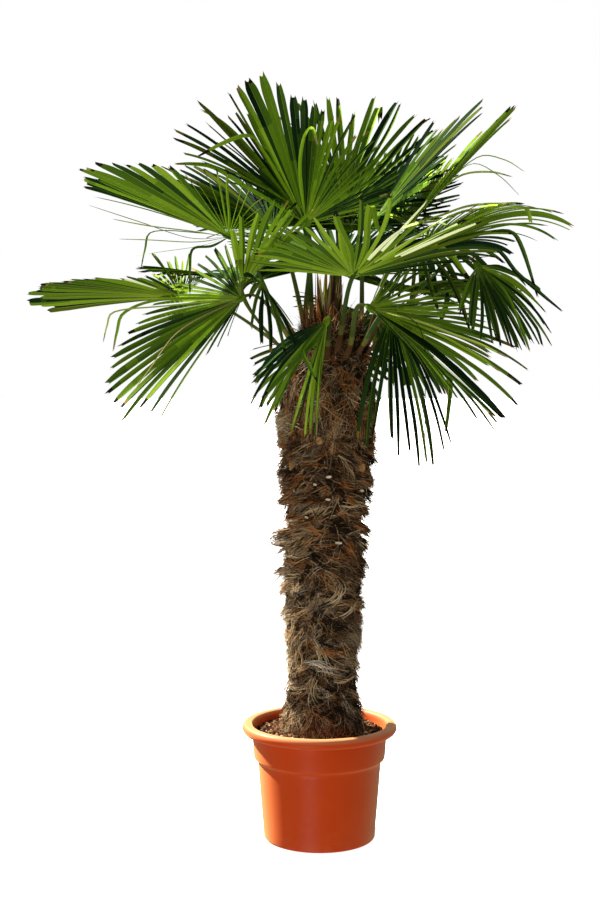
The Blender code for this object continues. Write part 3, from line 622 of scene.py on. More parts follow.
    # loose pale strings that hang and curl
    n = 190
    phi = rng.uniform(-math.pi, math.pi, n)
    z = rng.uniform(1.50, 1.69, n)
    parts.append(clumps(rng, n, 3, phi, z, rng.choice([-1, 1], n), rng.uniform(-1.2, 1.4, n), rng.uniform(0.08, 0.17, n),
                        rng.uniform(0.014, 0.046, n), 1.0, rng.normal(0, 2.6, n), 0.0021,
                        pick(rng, [0, 0.1, 0.12, 0.16, 0.30, 0.20, 0.12], n), gather=0.0, rows=9))
    # blonde fuzz on the left of the swelling and down the sunlit left side, pale partly as the fibre's own colour and
    # partly as painted sunlight; and stray hairs everywhere
    n = 320
    phi = np.concatenate([rng.normal(-1.30, 0.22, 90), rng.normal(-1.45, 0.28, 230)])
    z = np.concatenate([rng.normal(1.390, 0.030, 90), rng.uniform(0.46, 1.02, 230)])
    parts.append(clumps(rng, n, 13, phi, z, -1, rng.uniform(-1.2, 1.4, n), rng.uniform(0.025, 0.055, n),
                        rng.uniform(0.012, 0.034, n), 0.8, rng.normal(0, 1.5, n), 0.0024,
                        pick(rng, [0, 0.05, 0.05, 0.08, 0.32, 0.36, 0.14], n), gather=0.3))
    n = 1500
    phi = rng.uniform(-math.pi, math.pi, n)
    z = rng.uniform(0.42, 1.55, n)
    parts.append(clumps(rng, n, 2, phi, z, rng.choice([-1, 1], n), rng.uniform(-0.6, 1.6, n), rng.uniform(0.05, 0.11, n),
                        rng.uniform(0.014, 0.044, n), 1.1, rng.normal(0, 1.6, n), 0.0022,
                        pick(rng, [0.10, 0.22, 0.22, 0.12, 0.20, 0.11, 0.03], n), gather=0.0, rows=6))
    fibre_piece("fibres_head", parts)


def make_heart():
    """Curled brown and pale fibre that fills the space between the petioles and round the spears."""
    rng = rng_for("heart")
    rows = 9
    verts, tones, quads, base = [], [], [], 0
    n = 2300
    t = np.linspace(0, 1, rows)[None, :, None]
    a = rng.uniform(0, 2 * math.pi, n)
    rad = 0.088 * np.sqrt(rng.random(n))
    z0 = TRUNK_TOP - 0.050 + rng.uniform(0, 0.125, n) * (1 - rad / 0.13)
    root = np.stack([TRUNK_TOP_X + rad * np.cos(a), rad * np.sin(a), z0], -1)
    out = np.stack([np.cos(a), np.sin(a), 0 * a], -1)
    d = np.array([0, 0, 1.0]) + out * rng.uniform(-0.1, 0.7, (n, 1)) + rng.normal(0, 0.35, (n, 3))
    d = unit(d)
    length = rng.uniform(0.030, 0.085, n) * np.where(rng.random(n) < 0.12, 1.5, 1.0)
    bend = rng.normal(0, 1.1, (n, 3)) + out * 0.6 - np.array([0, 0, 0.5])
    curl = rng.normal(0, 1.2, (n, 3))
    dirs = unit(d[:, None] + bend[:, None] * t + curl[:, None] * np.sin(t * 5))
    p = root[:, None] + np.concatenate([np.zeros((n, 1, 3)), np.cumsum(dirs[:, :-1], 1)], 1) * (length / (rows - 1))[:, None, None]
    p[..., 2] = np.maximum(p[..., 2], 1.58)
    tang = unit(np.gradient(p, axis=1))
    side = unit(np.cross(tang, rng.normal(0, 1, (n, 1, 3)) + 0 * tang))
    w = rng.uniform(0.0012, 0.0024, n)[:, None] * (1 - 0.8 * t[..., 0] ** 1.5)
    v = np.stack([p - side * w[..., None], p + side * w[..., None]], 2)
    tone = pick(rng, [0.30, 0.24, 0.03, 0.14, 0.12, 0.09, 0.08], n)
    parts = [(v, tone)]
    # torn sheath strips that stand between the petioles
    n = 150
    a = rng.uniform(0, 2 * math.pi, n)
    tall = np.arange(n) < 22
    rad = np.where(tall, rng.uniform(0.012, 0.040, n), rng.uniform(0.020, 0.088, n))
    high = np.where(tall, rng.uniform(0.15, 0.27, n), rng.uniform(0.03, 0.13, n))
    t = np.linspace(0, 1, rows)[None, :]
    out = np.stack([np.cos(a), np.sin(a)], -1)
    lean = np.where(tall, 0.08, rng.uniform(0.0, 0.9, n) * rad / 0.084)
    sway = rng.normal(0, 0.010, (n, 2)) * np.where(tall, 0.5, 1.3)[:, None]
    hor = out[:, None] * (rad[:, None] + (lean * high)[:, None] * t ** 1.5)[..., None] + sway[:, None] * np.sin(t * 4)[..., None]
    p = np.concatenate([hor, (TRUNK_TOP - 0.045 + (high + 0.045)[:, None] * t)[..., None]], -1)
    p[..., 0] += TRUNK_TOP_X
    across = np.stack([-np.sin(a), np.cos(a), 0 * a], -1) + rng.normal(0, 0.45, (n, 3)) * np.array([1, 1, 0.1])
    across = unit(across)[:, None]
    w = (np.where(tall, rng.uniform(0.006, 0.011, n), rng.uniform(0.0016, 0.0060, n))[:, None] * (1 - 0.85 * t ** 2.2))[..., None]
    parts.append((np.stack([p - across * w, p + across * w], 2), pick(rng, [0.40, 0.34, 0.02, 0.12, 0.08, 0.04, 0.0], n)))
    fibre_piece("fibres_heart", parts, "trunk")


def make_stubs():
    """Sawn-off leaf stalks that stick out of the fibre, pale where they are cut."""
    rng = rng_for("stubs")
    # angle from the front (degrees), height, half width, half height, how far it stands out, strap-like
    given = [(4, 1.240, 0.010, 0.0045, 0.020, 0), (-10, 1.217, 0.008, 0.004, 0.018, 0), (4, 1.168, 0.009, 0.004, 0.020, 0),
             (52, 1.171, 0.008, 0.004, 0.022, 0), (-48, 1.171, 0.006, 0.0045, 0.018, 0), (22, 1.009, 0.012, 0.0042, 0.022, 0),
             (46, 1.264, 0.007, 0.014, 0.018, 1), (-46, 1.258, 0.005, 0.015, 0.018, 1), (-9, 1.346, 0.012, 0.011, 0.016, 1),
             (-30, 1.105, 0.008, 0.004, 0.016, 0), (32, 0.890, 0.008, 0.005, 0.016, 1)]
    for k in range(24):
        given.append((math.degrees(rng.uniform(1.9, 2 * math.pi - 1.9)), rng.uniform(0.86, 1.38),
                      rng.uniform(0.007, 0.012), rng.uniform(0.004, 0.006), rng.uniform(0.014, 0.022), int(rng.random() < 0.25)))
    verts, quads, index = [], [], []
    base = 0
    sides = 10
    for deg, z, hw, hh, out, strap in given:
        phi = math.radians(deg)
        o = np.array([math.sin(phi), -math.cos(phi), 0.0])
        s = np.array([math.cos(phi), math.sin(phi), 0.0])
        up = np.array([0.0, 0.0, 1.0])
        axis = unit(o + up * rng.uniform(-0.3, 0.4) + s * rng.uniform(-0.3, 0.3))
        c0 = on_trunk(np.array(phi), np.array(z), np.array(-0.020))
        roll = rng.uniform(-0.35, 0.35)
        a = np.arange(sides) / sides * 2 * math.pi
        e1, e2 = s * math.cos(roll) + up * math.sin(roll), up * math.cos(roll) - s * math.sin(roll)
        rings = []
        for d, grow in ((0.0, 1.25), (0.020 + out * 0.6, 1.05), (0.020 + out, 1.0), (0.020 + out + 0.0008, 0.86),
                        (0.020 + out - 0.0006, 0.35)):
            slant = (np.cos(a) * hw * 0.5)[:, None] * axis if d > 0.02 else 0
            rings.append(c0 + axis * d + (np.cos(a) * hw * grow)[:, None] * e1 + (np.sin(a) * hh * grow)[:, None] * e2 + slant)
        verts.append(np.vstack(rings))
        quads.append(grid_quads(5, sides, closed=True) + base)
        cap = [[base + 4 * sides + i, base + 4 * sides + i + 1, base + 4 * sides + sides - 2 - i, base + 4 * sides + sides - 1 - i]
               for i in range(sides // 2 - 1)]
        quads.append(np.array(cap))
        index += [2 if strap else 0] * (2 * sides) + [2 if strap else 1] * (2 * sides) + [2 if strap else 1] * len(cap)
        base += 5 * sides
    ob = make_mesh("trunk_stubs", np.vstack(verts), np.vstack(quads), STUB, mat_index=index)
    piece(ob, "trunk")


# ================================================================ fronds
# name, hub, azimuth (0 = to the front, 90 = to the right), elevation, roll, length, fold of the left
# and right half, droop, outline of (angle round the hub, share of the length): the solids' own table
ROUND = ((-108, 0.68), (-80, 0.80), (-50, 0.91), (-20, 0.985), (0, 1.0), (20, 0.985), (50, 0.90), (80, 0.79), (108, 0.66))
NARROW = ((-76, 0.66), (-55, 0.80), (-30, 0.93), (0, 1.0), (30, 0.92), (55, 0.79), (76, 0.64))
FRONDS = (
    ("front", (0.10, -0.32, 1.871), 12, 17, 0, 0.54, 14, 10, 0.25,
     ((-116, 0.90), (-100, 0.92), (-90, 0.95), (-78, 0.88), (-50, 0.78), (-36, 0.77), (-24, 0.82), (-14, 0.87),
      (-4, 1.05), (6, 1.03), (18, 0.85), (30, 0.76), (50, 0.63), (74, 0.65), (96, 0.60), (110, 0.50))),
    ("left_low", (-0.25, -0.24, 1.806), 284, -37, -20, 0.55, 0, 10, 0.14,
     ((-50, 0.35), (-34, 0.55), (-30, 0.93), (-20, 1.0), (4, 0.97), (14, 0.91), (24, 0.87), (36, 0.77), (52, 0.65),
      (72, 0.60), (92, 0.60), (108, 0.62), (118, 0.62))),
    ("left_far", (-0.469, 0.150, 1.826), 243, -3, -8, 0.574, 16, 27, 0.086,
     ((-110, 0.80), (-98, 0.63), (-90, 0.75), (-82, 0.75), (-70, 0.80), (-66, 0.86), (-42, 0.86), (-34, 0.92),
      (-10, 0.95), (0, 0.97), (14, 0.98), (22, 0.80), (30, 0.55), (42, 0.50), (56, 0.60), (70, 0.60), (76, 0.30), (110, 0.25))),
    ("left_high", (-0.30, -0.02, 2.016), 303, 23, 3, 0.54, 8, 8, 0.10,
     ((-112, 0.30), (-80, 0.50), (-66, 0.80), (-60, 1.0), (-50, 0.90), (-36, 0.80), (-22, 0.91), (-4, 1.0), (16, 0.96),
      (24, 0.95), (36, 0.97), (42, 0.90))),
    ("top_left", (-0.046, 0.08, 2.071), 240, 68, -62, 0.52, 10, 14, 0.08,
     ((-12, 1.06), (0, 1.05), (6, 1.0), (12, 0.88), (22, 0.79), (36, 0.77), (62, 0.69), (84, 0.60), (105, 0.50))),
    ("right_low", (0.152, -0.347, 1.771), 82, -38, 29, 0.56, 20, 28, 0.26,
     ((-110, 0.40), (-60, 0.50), (-44, 0.62), (-36, 0.85), (-30, 1.03), (-18, 0.98), (-2, 0.98), (22, 1.03), (34, 0.85),
      (50, 0.80), (58, 0.86))),
    ("right_hang", (0.226, -0.197, 1.758), 77, -73, 22, 0.51, 7, -1, 1.55,
     ((-30, 0.95), (-23, 1.03), (-15, 0.98), (-3, 1.03), (13, 0.92), (21, 0.92), (33, 0.98), (41, 0.86), (49, 0.98),
      (60, 0.98))),
    ("left_hang", (0.019, -0.265, 1.734), 314, -65, 13, 0.43, 10, 8, 0.95,
     ((-30, 1.0), (-16, 0.98), (-4, 0.92), (2, 0.90), (6, 0.25), (22, 0.25), (26, 0.90), (40, 0.92), (48, 0.85),
      (52, 0.98), (64, 0.86), (76, 0.85))),
    ("right_mid", (0.34, -0.015, 1.968), 102, 22, -13, 0.52, 0, 8, 0.83,
     ((-100, 0.70), (-60, 1.0), (-32, 1.0), (-24, 0.75), (-10, 0.80), (0, 0.90), (20, 1.03), (32, 0.92), (60, 0.86),
      (72, 0.80), (100, 0.60))),
    ("right_bright", (0.30, 0.0, 2.059), 104, 47, 0, 0.55, 6, 15, 0.10,
     ((-90, 0.50), (-60, 0.75), (-40, 0.92), (-30, 0.60), (-18, 1.0), (-2, 0.96), (18, 0.93), (30, 0.92), (40, 0.90),
      (50, 0.50), (84, 0.70))),
    ("right_drop", (0.511, -0.102, 1.918), 75, -57, 29, 0.40, -7, 16, 0.63,
     ((-80, 0.80), (-66, 0.92), (-38, 1.0), (-14, 0.78), (30, 0.80), (46, 0.86), (58, 0.92), (75, 0.80))),
    ("right_high", (0.19, 0.09, 2.09), 97, 53, 21, 0.54, 0, 12, 0.05,
     ((-80, 0.60), (0, 0.80), (14, 0.95), (20, 1.0), (32, 0.98), (40, 0.70), (80, 0.60))),
    ("top_back", (0.08, 0.16, 2.121), 164, 58, 5, 0.53, 12, 12, 0.12,
     ((-60, 0.80), (-18, 0.95), (0, 0.98), (12, 0.96), (28, 0.90), (44, 0.80), (56, 0.74), (105, 0.65))),
    ("top_dark", (-0.087, 0.185, 2.141), 239, 52, -31, 0.53, 25, 0, 0.05,
     ((-90, 0.35), (-70, 0.50), (-60, 0.80), (-54, 0.92), (-38, 0.92), (-30, 0.60), (-18, 0.90), (-10, 0.98), (0, 0.80),
      (60, 0.70))),
    ("left_up", (-0.256, 0.020, 1.865), 23, 37, 8, 0.402, 14, 21, 0.02,
     ((-44, 0.60), (-36, 0.84), (-12, 0.98), (0, 1.03), (14, 0.95), (26, 0.60))),
    ("left_small", (-0.189, -0.120, 1.855), 3, -17, -52, 0.393, 12, 6, 1.23,
     ((-40, 0.50), (-20, 0.85), (-8, 0.98), (0, 1.10), (8, 0.98), (16, 0.88), (36, 0.50))),
    ("back_mid", (0.07, 0.40, 1.955), 172, 16, 0, 0.53, 12, 12, 0.22, ROUND),
    ("back_right", (0.26, 0.36, 1.860), 142, 0, 6, 0.53, 12, 12, 0.25, ROUND),
    ("back_left", (-0.24, 0.33, 1.885), 212, 8, -5, 0.47, 12, 12, 0.16, ROUND),
    ("back_right_low", (0.20, 0.30, 1.761), 145, -30, 0, 0.50, 14, 14, 0.35, ROUND),
    ("back_low", (0.02, 0.24, 1.681), 182, -58, 0, 0.42, 18, 18, 0.50, NARROW),
    ("back_left_high", (-0.16, 0.28, 2.071), 214, 34, -8, 0.50, 12, 12, 0.15, ROUND),
    ("back_right_high", (0.11, 0.36, 2.071), 158, 38, 4, 0.50, 12, 12, 0.15, ROUND),
)

# Greens as weights of deep, dark, green, fresh, bright, lime, yellow-green, olive, glare. The mixes are painted light
# and shade: brighter ones for leaves in sun or lit through, darker ones for leaves in shade, and a dappled one for sun
# falling through gaps.
MIX = {
    "shade": (0.36, 0.40, 0.14, 0.02, 0.0, 0.0, 0.0, 0.08, 0.0),
    "olive": (0.04, 0.20, 0.16, 0.04, 0.0, 0.0, 0.0, 0.56, 0.0),
    "dull": (0.06, 0.26, 0.36, 0.10, 0.01, 0.0, 0.0, 0.21, 0.0),
    "mid": (0.03, 0.16, 0.40, 0.28, 0.08, 0.01, 0.0, 0.04, 0.0),
    "fresh": (0.01, 0.06, 0.22, 0.42, 0.22, 0.05, 0.0, 0.02, 0.0),
    "glow": (0.0, 0.02, 0.12, 0.40, 0.20, 0.04, 0.0, 0.22, 0.0),
    "lively": (0.0, 0.04, 0.14, 0.38, 0.32, 0.12, 0.0, 0.0, 0.0),
    "glint": (0.0, 0.0, 0.0, 0.12, 0.38, 0.46, 0.04, 0.0, 0.0),
    "sun_dappled": (0.18, 0.24, 0.14, 0.12, 0.06, 0.06, 0.08, 0.0, 0.12),
    "sunny": (0.0, 0.02, 0.08, 0.28, 0.38, 0.22, 0.02, 0.0, 0.0),
    "lime": (0.0, 0.0, 0.04, 0.16, 0.38, 0.33, 0.09, 0.0, 0.0),
    "pale": (0.0, 0.0, 0.03, 0.10, 0.20, 0.29, 0.26, 0.0, 0.12),
    "glare": (0.0, 0.02, 0.06, 0.10, 0.12, 0.12, 0.22, 0.0, 0.36),
}
# How each frond looks: degrees between leaflets, fused share of the length by angle, greens up to an
# angle, unrest, share of bent leaflets, dry tips, leaflet width in the free part (0 = as it comes)
LOOK = {
    "front": (6.6, ((-116, 0.34), (-70, 0.38), (-56, 0.36), (-18, 0.32), (14, 0.34), (40, 0.48), (110, 0.60)),
              ((-74, "olive"), (-54, "dull"), (-8, "glare"), (4, "pale"), (60, "lively"), (84, "sunny"), (110, "lime")), 1.0, 0.02, 0.5, 0.0),
    "left_low": (6.0, ((-50, 0.34), (-10, 0.50), (-4, 0.60), (44, 0.62), (56, 0.36), (118, 0.30)),
                 ((-34, "shade"), (-20, "dull"), (0, "fresh"), (84, "lively"), (118, "mid")), 0.4, 0.0, 0.6, 0.0),
    "left_far": (4.8, ((-110, 0.50), (-66, 0.58), (-54, 0.88), (-40, 0.92), (12, 0.93), (20, 0.55), (110, 0.42)),
                 ((-70, "pale"), (-52, "lime"), (-30, "lively"), (14, "glow"), (110, "sunny")), 0.15, 0.0, 0.8, 0.0),
    "left_high": (5.0, ((-112, 0.12), (-38, 0.18), (-32, 0.74), (42, 0.78)),
                  ((-36, "lime"), (-16, "sunny"), (42, "lively")), 0.4, 0.02, 0.8, 0.0),
    "top_left": (4.9, ((-12, 0.74), (30, 0.72), (40, 0.40), (105, 0.34)),
                 ((12, "mid"), (34, "dull"), (60, "fresh"), (105, "mid")), 0.5, 0.03, 0.6, 0.0),
    "right_low": (6.8, ((-110, 0.3), (-40, 0.34), (0, 0.40), (58, 0.40)),
                  ((-44, "pale"), (10, "sun_dappled"), (30, "lively"), (58, "dull")), 0.8, 0.02, 0.5, 0.0),
    "right_hang": (8.2, ((-30, 0.20), (60, 0.22)), ((0, "mid"), (30, "shade"), (60, "mid")), 0.5, 0.0, 0.5, 0.0125),
    "left_hang": (6.2, ((-30, 0.30), (76, 0.30)), ((0, "fresh"), (50, "fresh"), (76, "shade")), 0.6, 0.0, 0.6, 0.0115),
    "right_mid": (5.8, ((-100, 0.40), (0, 0.46), (100, 0.42)), ((-30, "mid"), (20, "fresh"), (60, "lively"), (100, "fresh")), 0.8, 0.04, 0.6, 0.0),
    "right_bright": (8.4, ((-90, 0.36), (-30, 0.56), (50, 0.66), (84, 0.5)),
                     ((-36, "lime"), (0, "sunny"), (84, "fresh")), 0.3, 0.0, 0.5, 0.0),
    "right_drop": (6.6, ((-80, 0.30), (0, 0.36), (75, 0.32)), ((-20, "fresh"), (30, "dull"), (75, "mid")), 0.8, 0.02, 0.6, 0.011),
    "right_high": (6.6, ((-80, 0.56), (80, 0.58)), ((0, "dull"), (80, "shade")), 0.4, 0.0, 0.5, 0.0),
    "top_back": (5.6, ((-60, 0.46), (0, 0.44), (105, 0.40)), ((10, "lively"), (60, "mid"), (105, "shade")), 0.7, 0.02, 0.5, 0.0),
    "top_dark": (5.4, ((-90, 0.4), (0, 0.46), (60, 0.46)), ((-30, "shade"), (10, "dull"), (60, "mid")), 0.7, 0.03, 0.6, 0.0),
    "left_up": (7.2, ((-44, 0.30), (26, 0.34)), ((-26, "lime"), (26, "glint")), 0.5, 0.0, 0.3, 0.013),
    "left_small": (8.0, ((-40, 0.26), (36, 0.26)), ((0, "dull"), (36, "mid")), 0.6, 0.0, 0.5, 0.010),
}
# the fronds at the back get shade greens: painted shade
BEHIND = (5.4, ((-108, 0.44), (-30, 0.54), (30, 0.52), (108, 0.44)), ((-20, "shade"), (30, "shade"), (108, "shade")),
          0.7, 0.03, 0.5, 0.0)
LOOK["back_mid"] = LOOK["back_left"] = LOOK["back_left_high"] = LOOK["back_right_high"] = BEHIND
# pleats of blades that the front view meets edge-on are shallow, and some blades arch up where others droop
PLEAT = {"right_bright": 12, "right_mid": 22, "right_high": 28}
PLAIN = ("right_bright", "right_mid", "right_high")          # no raised midribs on these
ARCH = {"front": ((-116, 0.25), (-76, 0.20), (-50, -0.20), (-12, -0.40), (36, -0.25), (70, 0.05), (110, 0.25)),
        "back_mid": ((-108, 0.22), (-60, 0.0), (0, -0.22), (60, 0.0), (108, 0.22))}
OTHER_LOOK = (5.4, ((-108, 0.44), (-30, 0.54), (30, 0.52), (108, 0.44)), ((-20, "dull"), (30, "mid"), (108, "dull")),
              0.7, 0.03, 0.5, 0.0)


def blade_axes(az, el, roll):
    a, e, r = math.radians(az), math.radians(el), math.radians(roll)
    m = np.array([math.sin(a) * math.cos(e), -math.cos(a) * math.cos(e), math.sin(e)])
    n0 = np.array([-math.sin(a) * math.sin(e), math.cos(a) * math.sin(e), math.cos(e)])
    s0 = np.cross(m, n0)
    n = math.cos(r) * n0 + math.sin(r) * s0
    s = math.cos(r) * s0 - math.sin(r) * n0
    return m, s, n


class Frond:
    STEPS = 64

    def __init__(self, row):
        (self.name, hub, self.az, self.el, self.roll, self.R, self.fl, self.fr, self.droop, outline) = row
        self.hub = np.array(hub, float)
        self.outline = np.array(outline, float)
        self.first, self.last = self.outline[0, 0], self.outline[-1, 0]
        self.reach = self.R * (self.outline[:, 1].max() + 0.12)
        self.m, self.s, self.n = blade_axes(self.az, self.el, self.roll)

    def length(self, th):
        return self.R * np.interp(th, self.outline[:, 0], self.outline[:, 1])

    def direction(self, th):
        t = np.radians(th)
        c = np.radians(np.where(th > 0, self.fr, self.fl))
        return (np.cos(t)[:, None] * self.m + (np.sin(t) * np.cos(c))[:, None] * self.s
                + (np.abs(np.sin(t)) * np.sin(c))[:, None] * self.n)

    def table(self, th):
        """Points along each line, from the hub out to the reach."""
        d = self.direction(th)
        q = (np.arange(self.STEPS) + 0.5) / self.STEPS * self.reach / self.R
        droop = np.full(len(th), self.droop)
        if self.name in ARCH:
            droop = np.interp(th, *zip(*ARCH[self.name]))
        dd = d[:, None, :] + np.array([0, 0, -1.0]) * (droop[:, None] * q ** 2 * self.R / 0.5)[..., None]
        p = np.cumsum(unit(dd), 1) * (self.reach / self.STEPS)
        return np.concatenate([np.zeros((len(th), 1, 3)), p], 1) + self.hub

    def at(self, tab, r):
        """Points at distances r (lines, stations) on a table."""
        x = np.clip(r / self.reach * self.STEPS, 0, self.STEPS - 1e-6)
        i = x.astype(int)
        f = (x - i)[..., None]
        k = np.arange(len(tab))[:, None]
        return tab[k, i] * (1 - f) + tab[k, i + 1] * f


ACROSS = np.array([-1.0, -0.5, 0.0, 0.5, 1.0])
FUSED_ROWS, FREE_ROWS = 11, 14
LADDER_UP = np.array([DARK, GREEN, FRESH, BRIGHT, LIME, LIME, YELLOW, FRESH, RIB, TIP, STRAW, GOLD, GLARE])
LADDER_DOWN = np.array([DEEP, DEEP, DARK, GREEN, FRESH, BRIGHT, LIME, DARK, RIB, TIP, STRAW, GOLD, YELLOW])


def mix_at(rng, table, mid):
    """A green for each leaflet: the first entry whose angle isn't passed, with soft borders."""
    out = np.zeros(len(mid), int)
    th = mid + rng.normal(0, 3.0, len(mid))
    done = np.zeros(len(mid), bool)
    for limit, name in table:
        hit = ~done & (th <= limit)
        out[hit] = pick(rng, MIX[name], int(hit.sum()))
        done |= hit
    out[~done] = pick(rng, MIX[table[-1][1]], int((~done).sum()))
    out[out == 8] = GLARE
    return out


def make_fan(row, ribs):
    fr = Frond(row)
    rng = rng_for("fan_" + fr.name)
    space, fused, mixes, unrest, bent, dry, wide = LOOK.get(fr.name, OTHER_LOOK)
    n = max(5, int(round((fr.last - fr.first + 3) / space)))
    edge = np.linspace(fr.first - 1.5, fr.last + 1.5, n + 1)
    edge[1:-1] += rng.normal(0, 0.09 * space, n - 1)
    mid = (edge[1:] + edge[:-1]) / 2
    ctab, etab = fr.table(mid), fr.table(edge)
    full = fr.length(mid)
    L = full * (1 + rng.normal(-0.01, 0.02, n) - 0.10 * (rng.random(n) < 0.12))
    L = np.minimum(L, full * 1.03)
    # the notch between two leaflets is common to both; pairs stay joined a little further
    fused = np.array(fused, float)
    share = np.interp(edge, fused[:, 0], fused[:, 1])
    near = np.minimum(np.append(L, L[-1]), np.insert(L, 0, L[0]))
    notch = share + rng.normal(0, 0.030, n + 1) * (1.2 - share) * 2 + 0.05 * (rng.random(n + 1) < 0.3) * (share < 0.7)
    notch = np.clip(notch, 0.08, 0.95) * near
    notch[0], notch[-1] = 0.16 * L[0], 0.16 * L[-1]
    root = 0.010
    uf = np.minimum(notch[1:], notch[:-1])            # a leaflet is free from its shallower notch on
    # ---- fused part: stations from the hub to the leaflet's first notch
    t = np.linspace(0, 1, FUSED_ROWS)[None, :]
    r = root + (uf[:, None] - root) * t
    cen, lef, rig = fr.at(ctab, r), fr.at(etab[:-1], r), fr.at(etab[1:], r)
    tang = unit(np.gradient(cen, axis=1))
    side = unit(rig - lef)
    nor = unit(np.cross(side, tang))
    nor *= np.sign(np.sum(nor * fr.n, -1, keepdims=True))
    half = np.linalg.norm(rig - lef, axis=-1) / 2
    # pleats are shallow at the hub and as steep as a roof further out
    fold0 = np.radians(PLEAT.get(fr.name, 35) + rng.normal(0, 3, n))
    fold = fold0[:, None] * np.clip(r / 0.09, 0.35, 1.0)
    depth = half * np.tan(fold)
    pts_f = np.zeros((n, FUSED_ROWS, 5, 3))
    for k, a in enumerate(ACROSS):
        base = cen + (rig - cen) * max(a, 0) + (lef - cen) * max(-a, 0)
        lift = depth * (abs(a) - 0.5) - 0.10 * depth * (1 if abs(a) == 0.5 else 0)
        pts_f[:, :, k] = base + nor * lift[..., None]
    # ---- free part
    t = (np.linspace(0, 1, FREE_ROWS + 1)[None, 1:]) ** 0.92
    wave = np.linspace(0, 1, 29)
    m = len(wave)
    free = np.maximum(L - uf, 0.012)
    rf = uf[:, None] + free[:, None] * wave[None]
    line = fr.at(ctab, rf)
    d = np.diff(line, axis=1)
    v = (wave[:-1] + wave[1:]) / 2
    s_end, n_end, t_end = side[:, -1], nor[:, -1], tang[:, -1]
    step = np.linalg.norm(d, axis=-1, keepdims=True)
    d = unit(d)
    loose = unrest * np.clip(free / 0.20, 0.25, 1.4)
    sway = rng.normal(0, 0.060, n) * loose
    nod = rng.normal(-0.01, 0.075, n) * loose
    sag = np.abs(rng.normal(0, 0.14, n)) * loose
    bow = rng.normal(0, 0.05, n) * loose
    d = d + v[None, :, None] * (sway[:, None, None] * s_end[:, None] + nod[:, None, None] * n_end[:, None])
    d = d + (v ** 2)[None, :, None] * sag[:, None, None] * np.array([0, 0, -1.0])
    d = d + np.sin(v * math.pi * 1.6)[None, :, None] * bow[:, None, None] * s_end[:, None]
    # bent leaflets: snapped part way, the rest hangs
    snap = np.where((rng.random(n) < bent) & (free > 0.12), rng.uniform(0.30, 0.75, n), 9.0)
    fall = rng.uniform(1.2, 3.2, n)
    away = rng.normal(0, 0.22, (n, 3)) * np.array([1, 1, 0.2])
    past = np.clip((v[None] - snap[:, None]) / 0.10, 0, 1)[..., None]
    d = d * (1 - 0.75 * past) + past * (np.array([0, 0, -1.0]) * (fall / 2.2)[:, None, None] + away[:, None])
    d = unit(d) * step
    path = np.concatenate([line[:, :1], line[:, :1] + np.cumsum(d, 1)], 1)
    x = t * (m - 1)
    i0 = np.minimum(x.astype(int), m - 2)
    f = (x - i0)[..., None]
    cen2 = path[:, i0[0]] * (1 - f) + path[:, i0[0] + 1] * f
    tang2 = unit(np.gradient(path, axis=1))
    tang2 = unit(tang2[:, i0[0]] * (1 - f) + tang2[:, i0[0] + 1] * f)
    side2 = unit(s_end[:, None] - tang2 * np.sum(s_end[:, None] * tang2, -1, keepdims=True))
    nor2 = np.cross(side2, tang2)
    nor2 *= np.sign(np.sum(np.cross(s_end, t_end) * n_end, -1))[:, None, None]
    tw = (rng.normal(0, 0.30, n) * unrest)[:, None] * t
    s3 = side2 * np.cos(tw)[..., None] + nor2 * np.sin(tw)[..., None]
    n3 = nor2 * np.cos(tw)[..., None] - side2 * np.sin(tw)[..., None]
    w_root = half[:, -1] / np.cos(fold[:, -1])
    w_full = np.maximum(w_root, wide * rng.uniform(0.85, 1.12, n)) if wide else w_root
    grow = np.clip(t * free[:, None] / 0.09, 0, 1)
    w_real = w_root[:, None] + (w_full - w_root)[:, None] * grow * grow * (3 - 2 * grow)
    # wide almost to the end, then drawn in to a short blunt tip
    end = np.clip((t - 0.62) / 0.38, 0, 1)
    taper = (1 - 0.05 * t) * (1 - rng.uniform(0.52, 0.70, n)[:, None] * end ** 1.9)
    w = w_real * taper
    opened = np.radians(rng.uniform(10, 24, n))[:, None]
    fold2 = fold[:, -1][:, None] * (1 - t) ** 0.6 + opened * (1 - (1 - t) ** 0.6) + np.radians(14) * t ** 6
    pts_r = np.zeros((n, FREE_ROWS, 5, 3))
    split = rng.uniform(0.004, 0.024, n) * np.where(rng.random(n) < 0.75, 1.0, 0.2)
    skew = rng.uniform(-0.007, 0.007, n)
    last = (np.arange(FREE_ROWS) == FREE_ROWS - 1).astype(float)[None]
    late = np.clip((t - 0.80) / 0.20, 0, 1)
    for k, a in enumerate(ACROSS):
        lift = w * np.sin(fold2) * (abs(a) - 0.5) - 0.10 * w * np.sin(fold2) * (1 if abs(a) == 0.5 else 0)
        p = cen2 + s3 * (w * np.cos(fold2) * a)[..., None] + n3 * lift[..., None]
        back = last * (split[:, None] * (1 - abs(a)) ** 0.7 + skew[:, None] * a)
        pts_r[:, :, k] = p - tang2 * back[..., None] + s3 * (0.0014 * a * late)[..., None]
    pts = np.concatenate([pts_f, pts_r], 1)
    rows = FUSED_ROWS + FREE_ROWS
    # ---- colours, dealt out by leaflet, dry at the tip; one half of a leaflet is often darker
    tone = mix_at(rng, mixes, mid)
    rowtone = np.repeat(tone[:, None], rows - 1, 1)
    rk = np.arange(rows - 1)[None]
    # sun-struck leaflets are so only in their free part
    struck = ((tone == YELLOW) | (tone == GLARE))[:, None] & (rk < (FUSED_ROWS - 3 + rng.integers(0, 4, n))[:, None])
    under = np.where(rng.random(n) < 0.5, BRIGHT, LIME)
    if fr.name == "front":
        under = np.where(mid < -6, np.where(rng.random(n) < 0.6, OLIVE, GREEN), np.where(rng.random(n) < 0.5, FRESH, under))
    rowtone = np.where(struck, under[:, None], rowtone)
    inner = np.where(rng.random(n) < 0.5, rng.integers(3, FUSED_ROWS - 1, n), 0)
    rowtone = np.where(rk < inner[:, None], LADDER_UP[rowtone], rowtone)
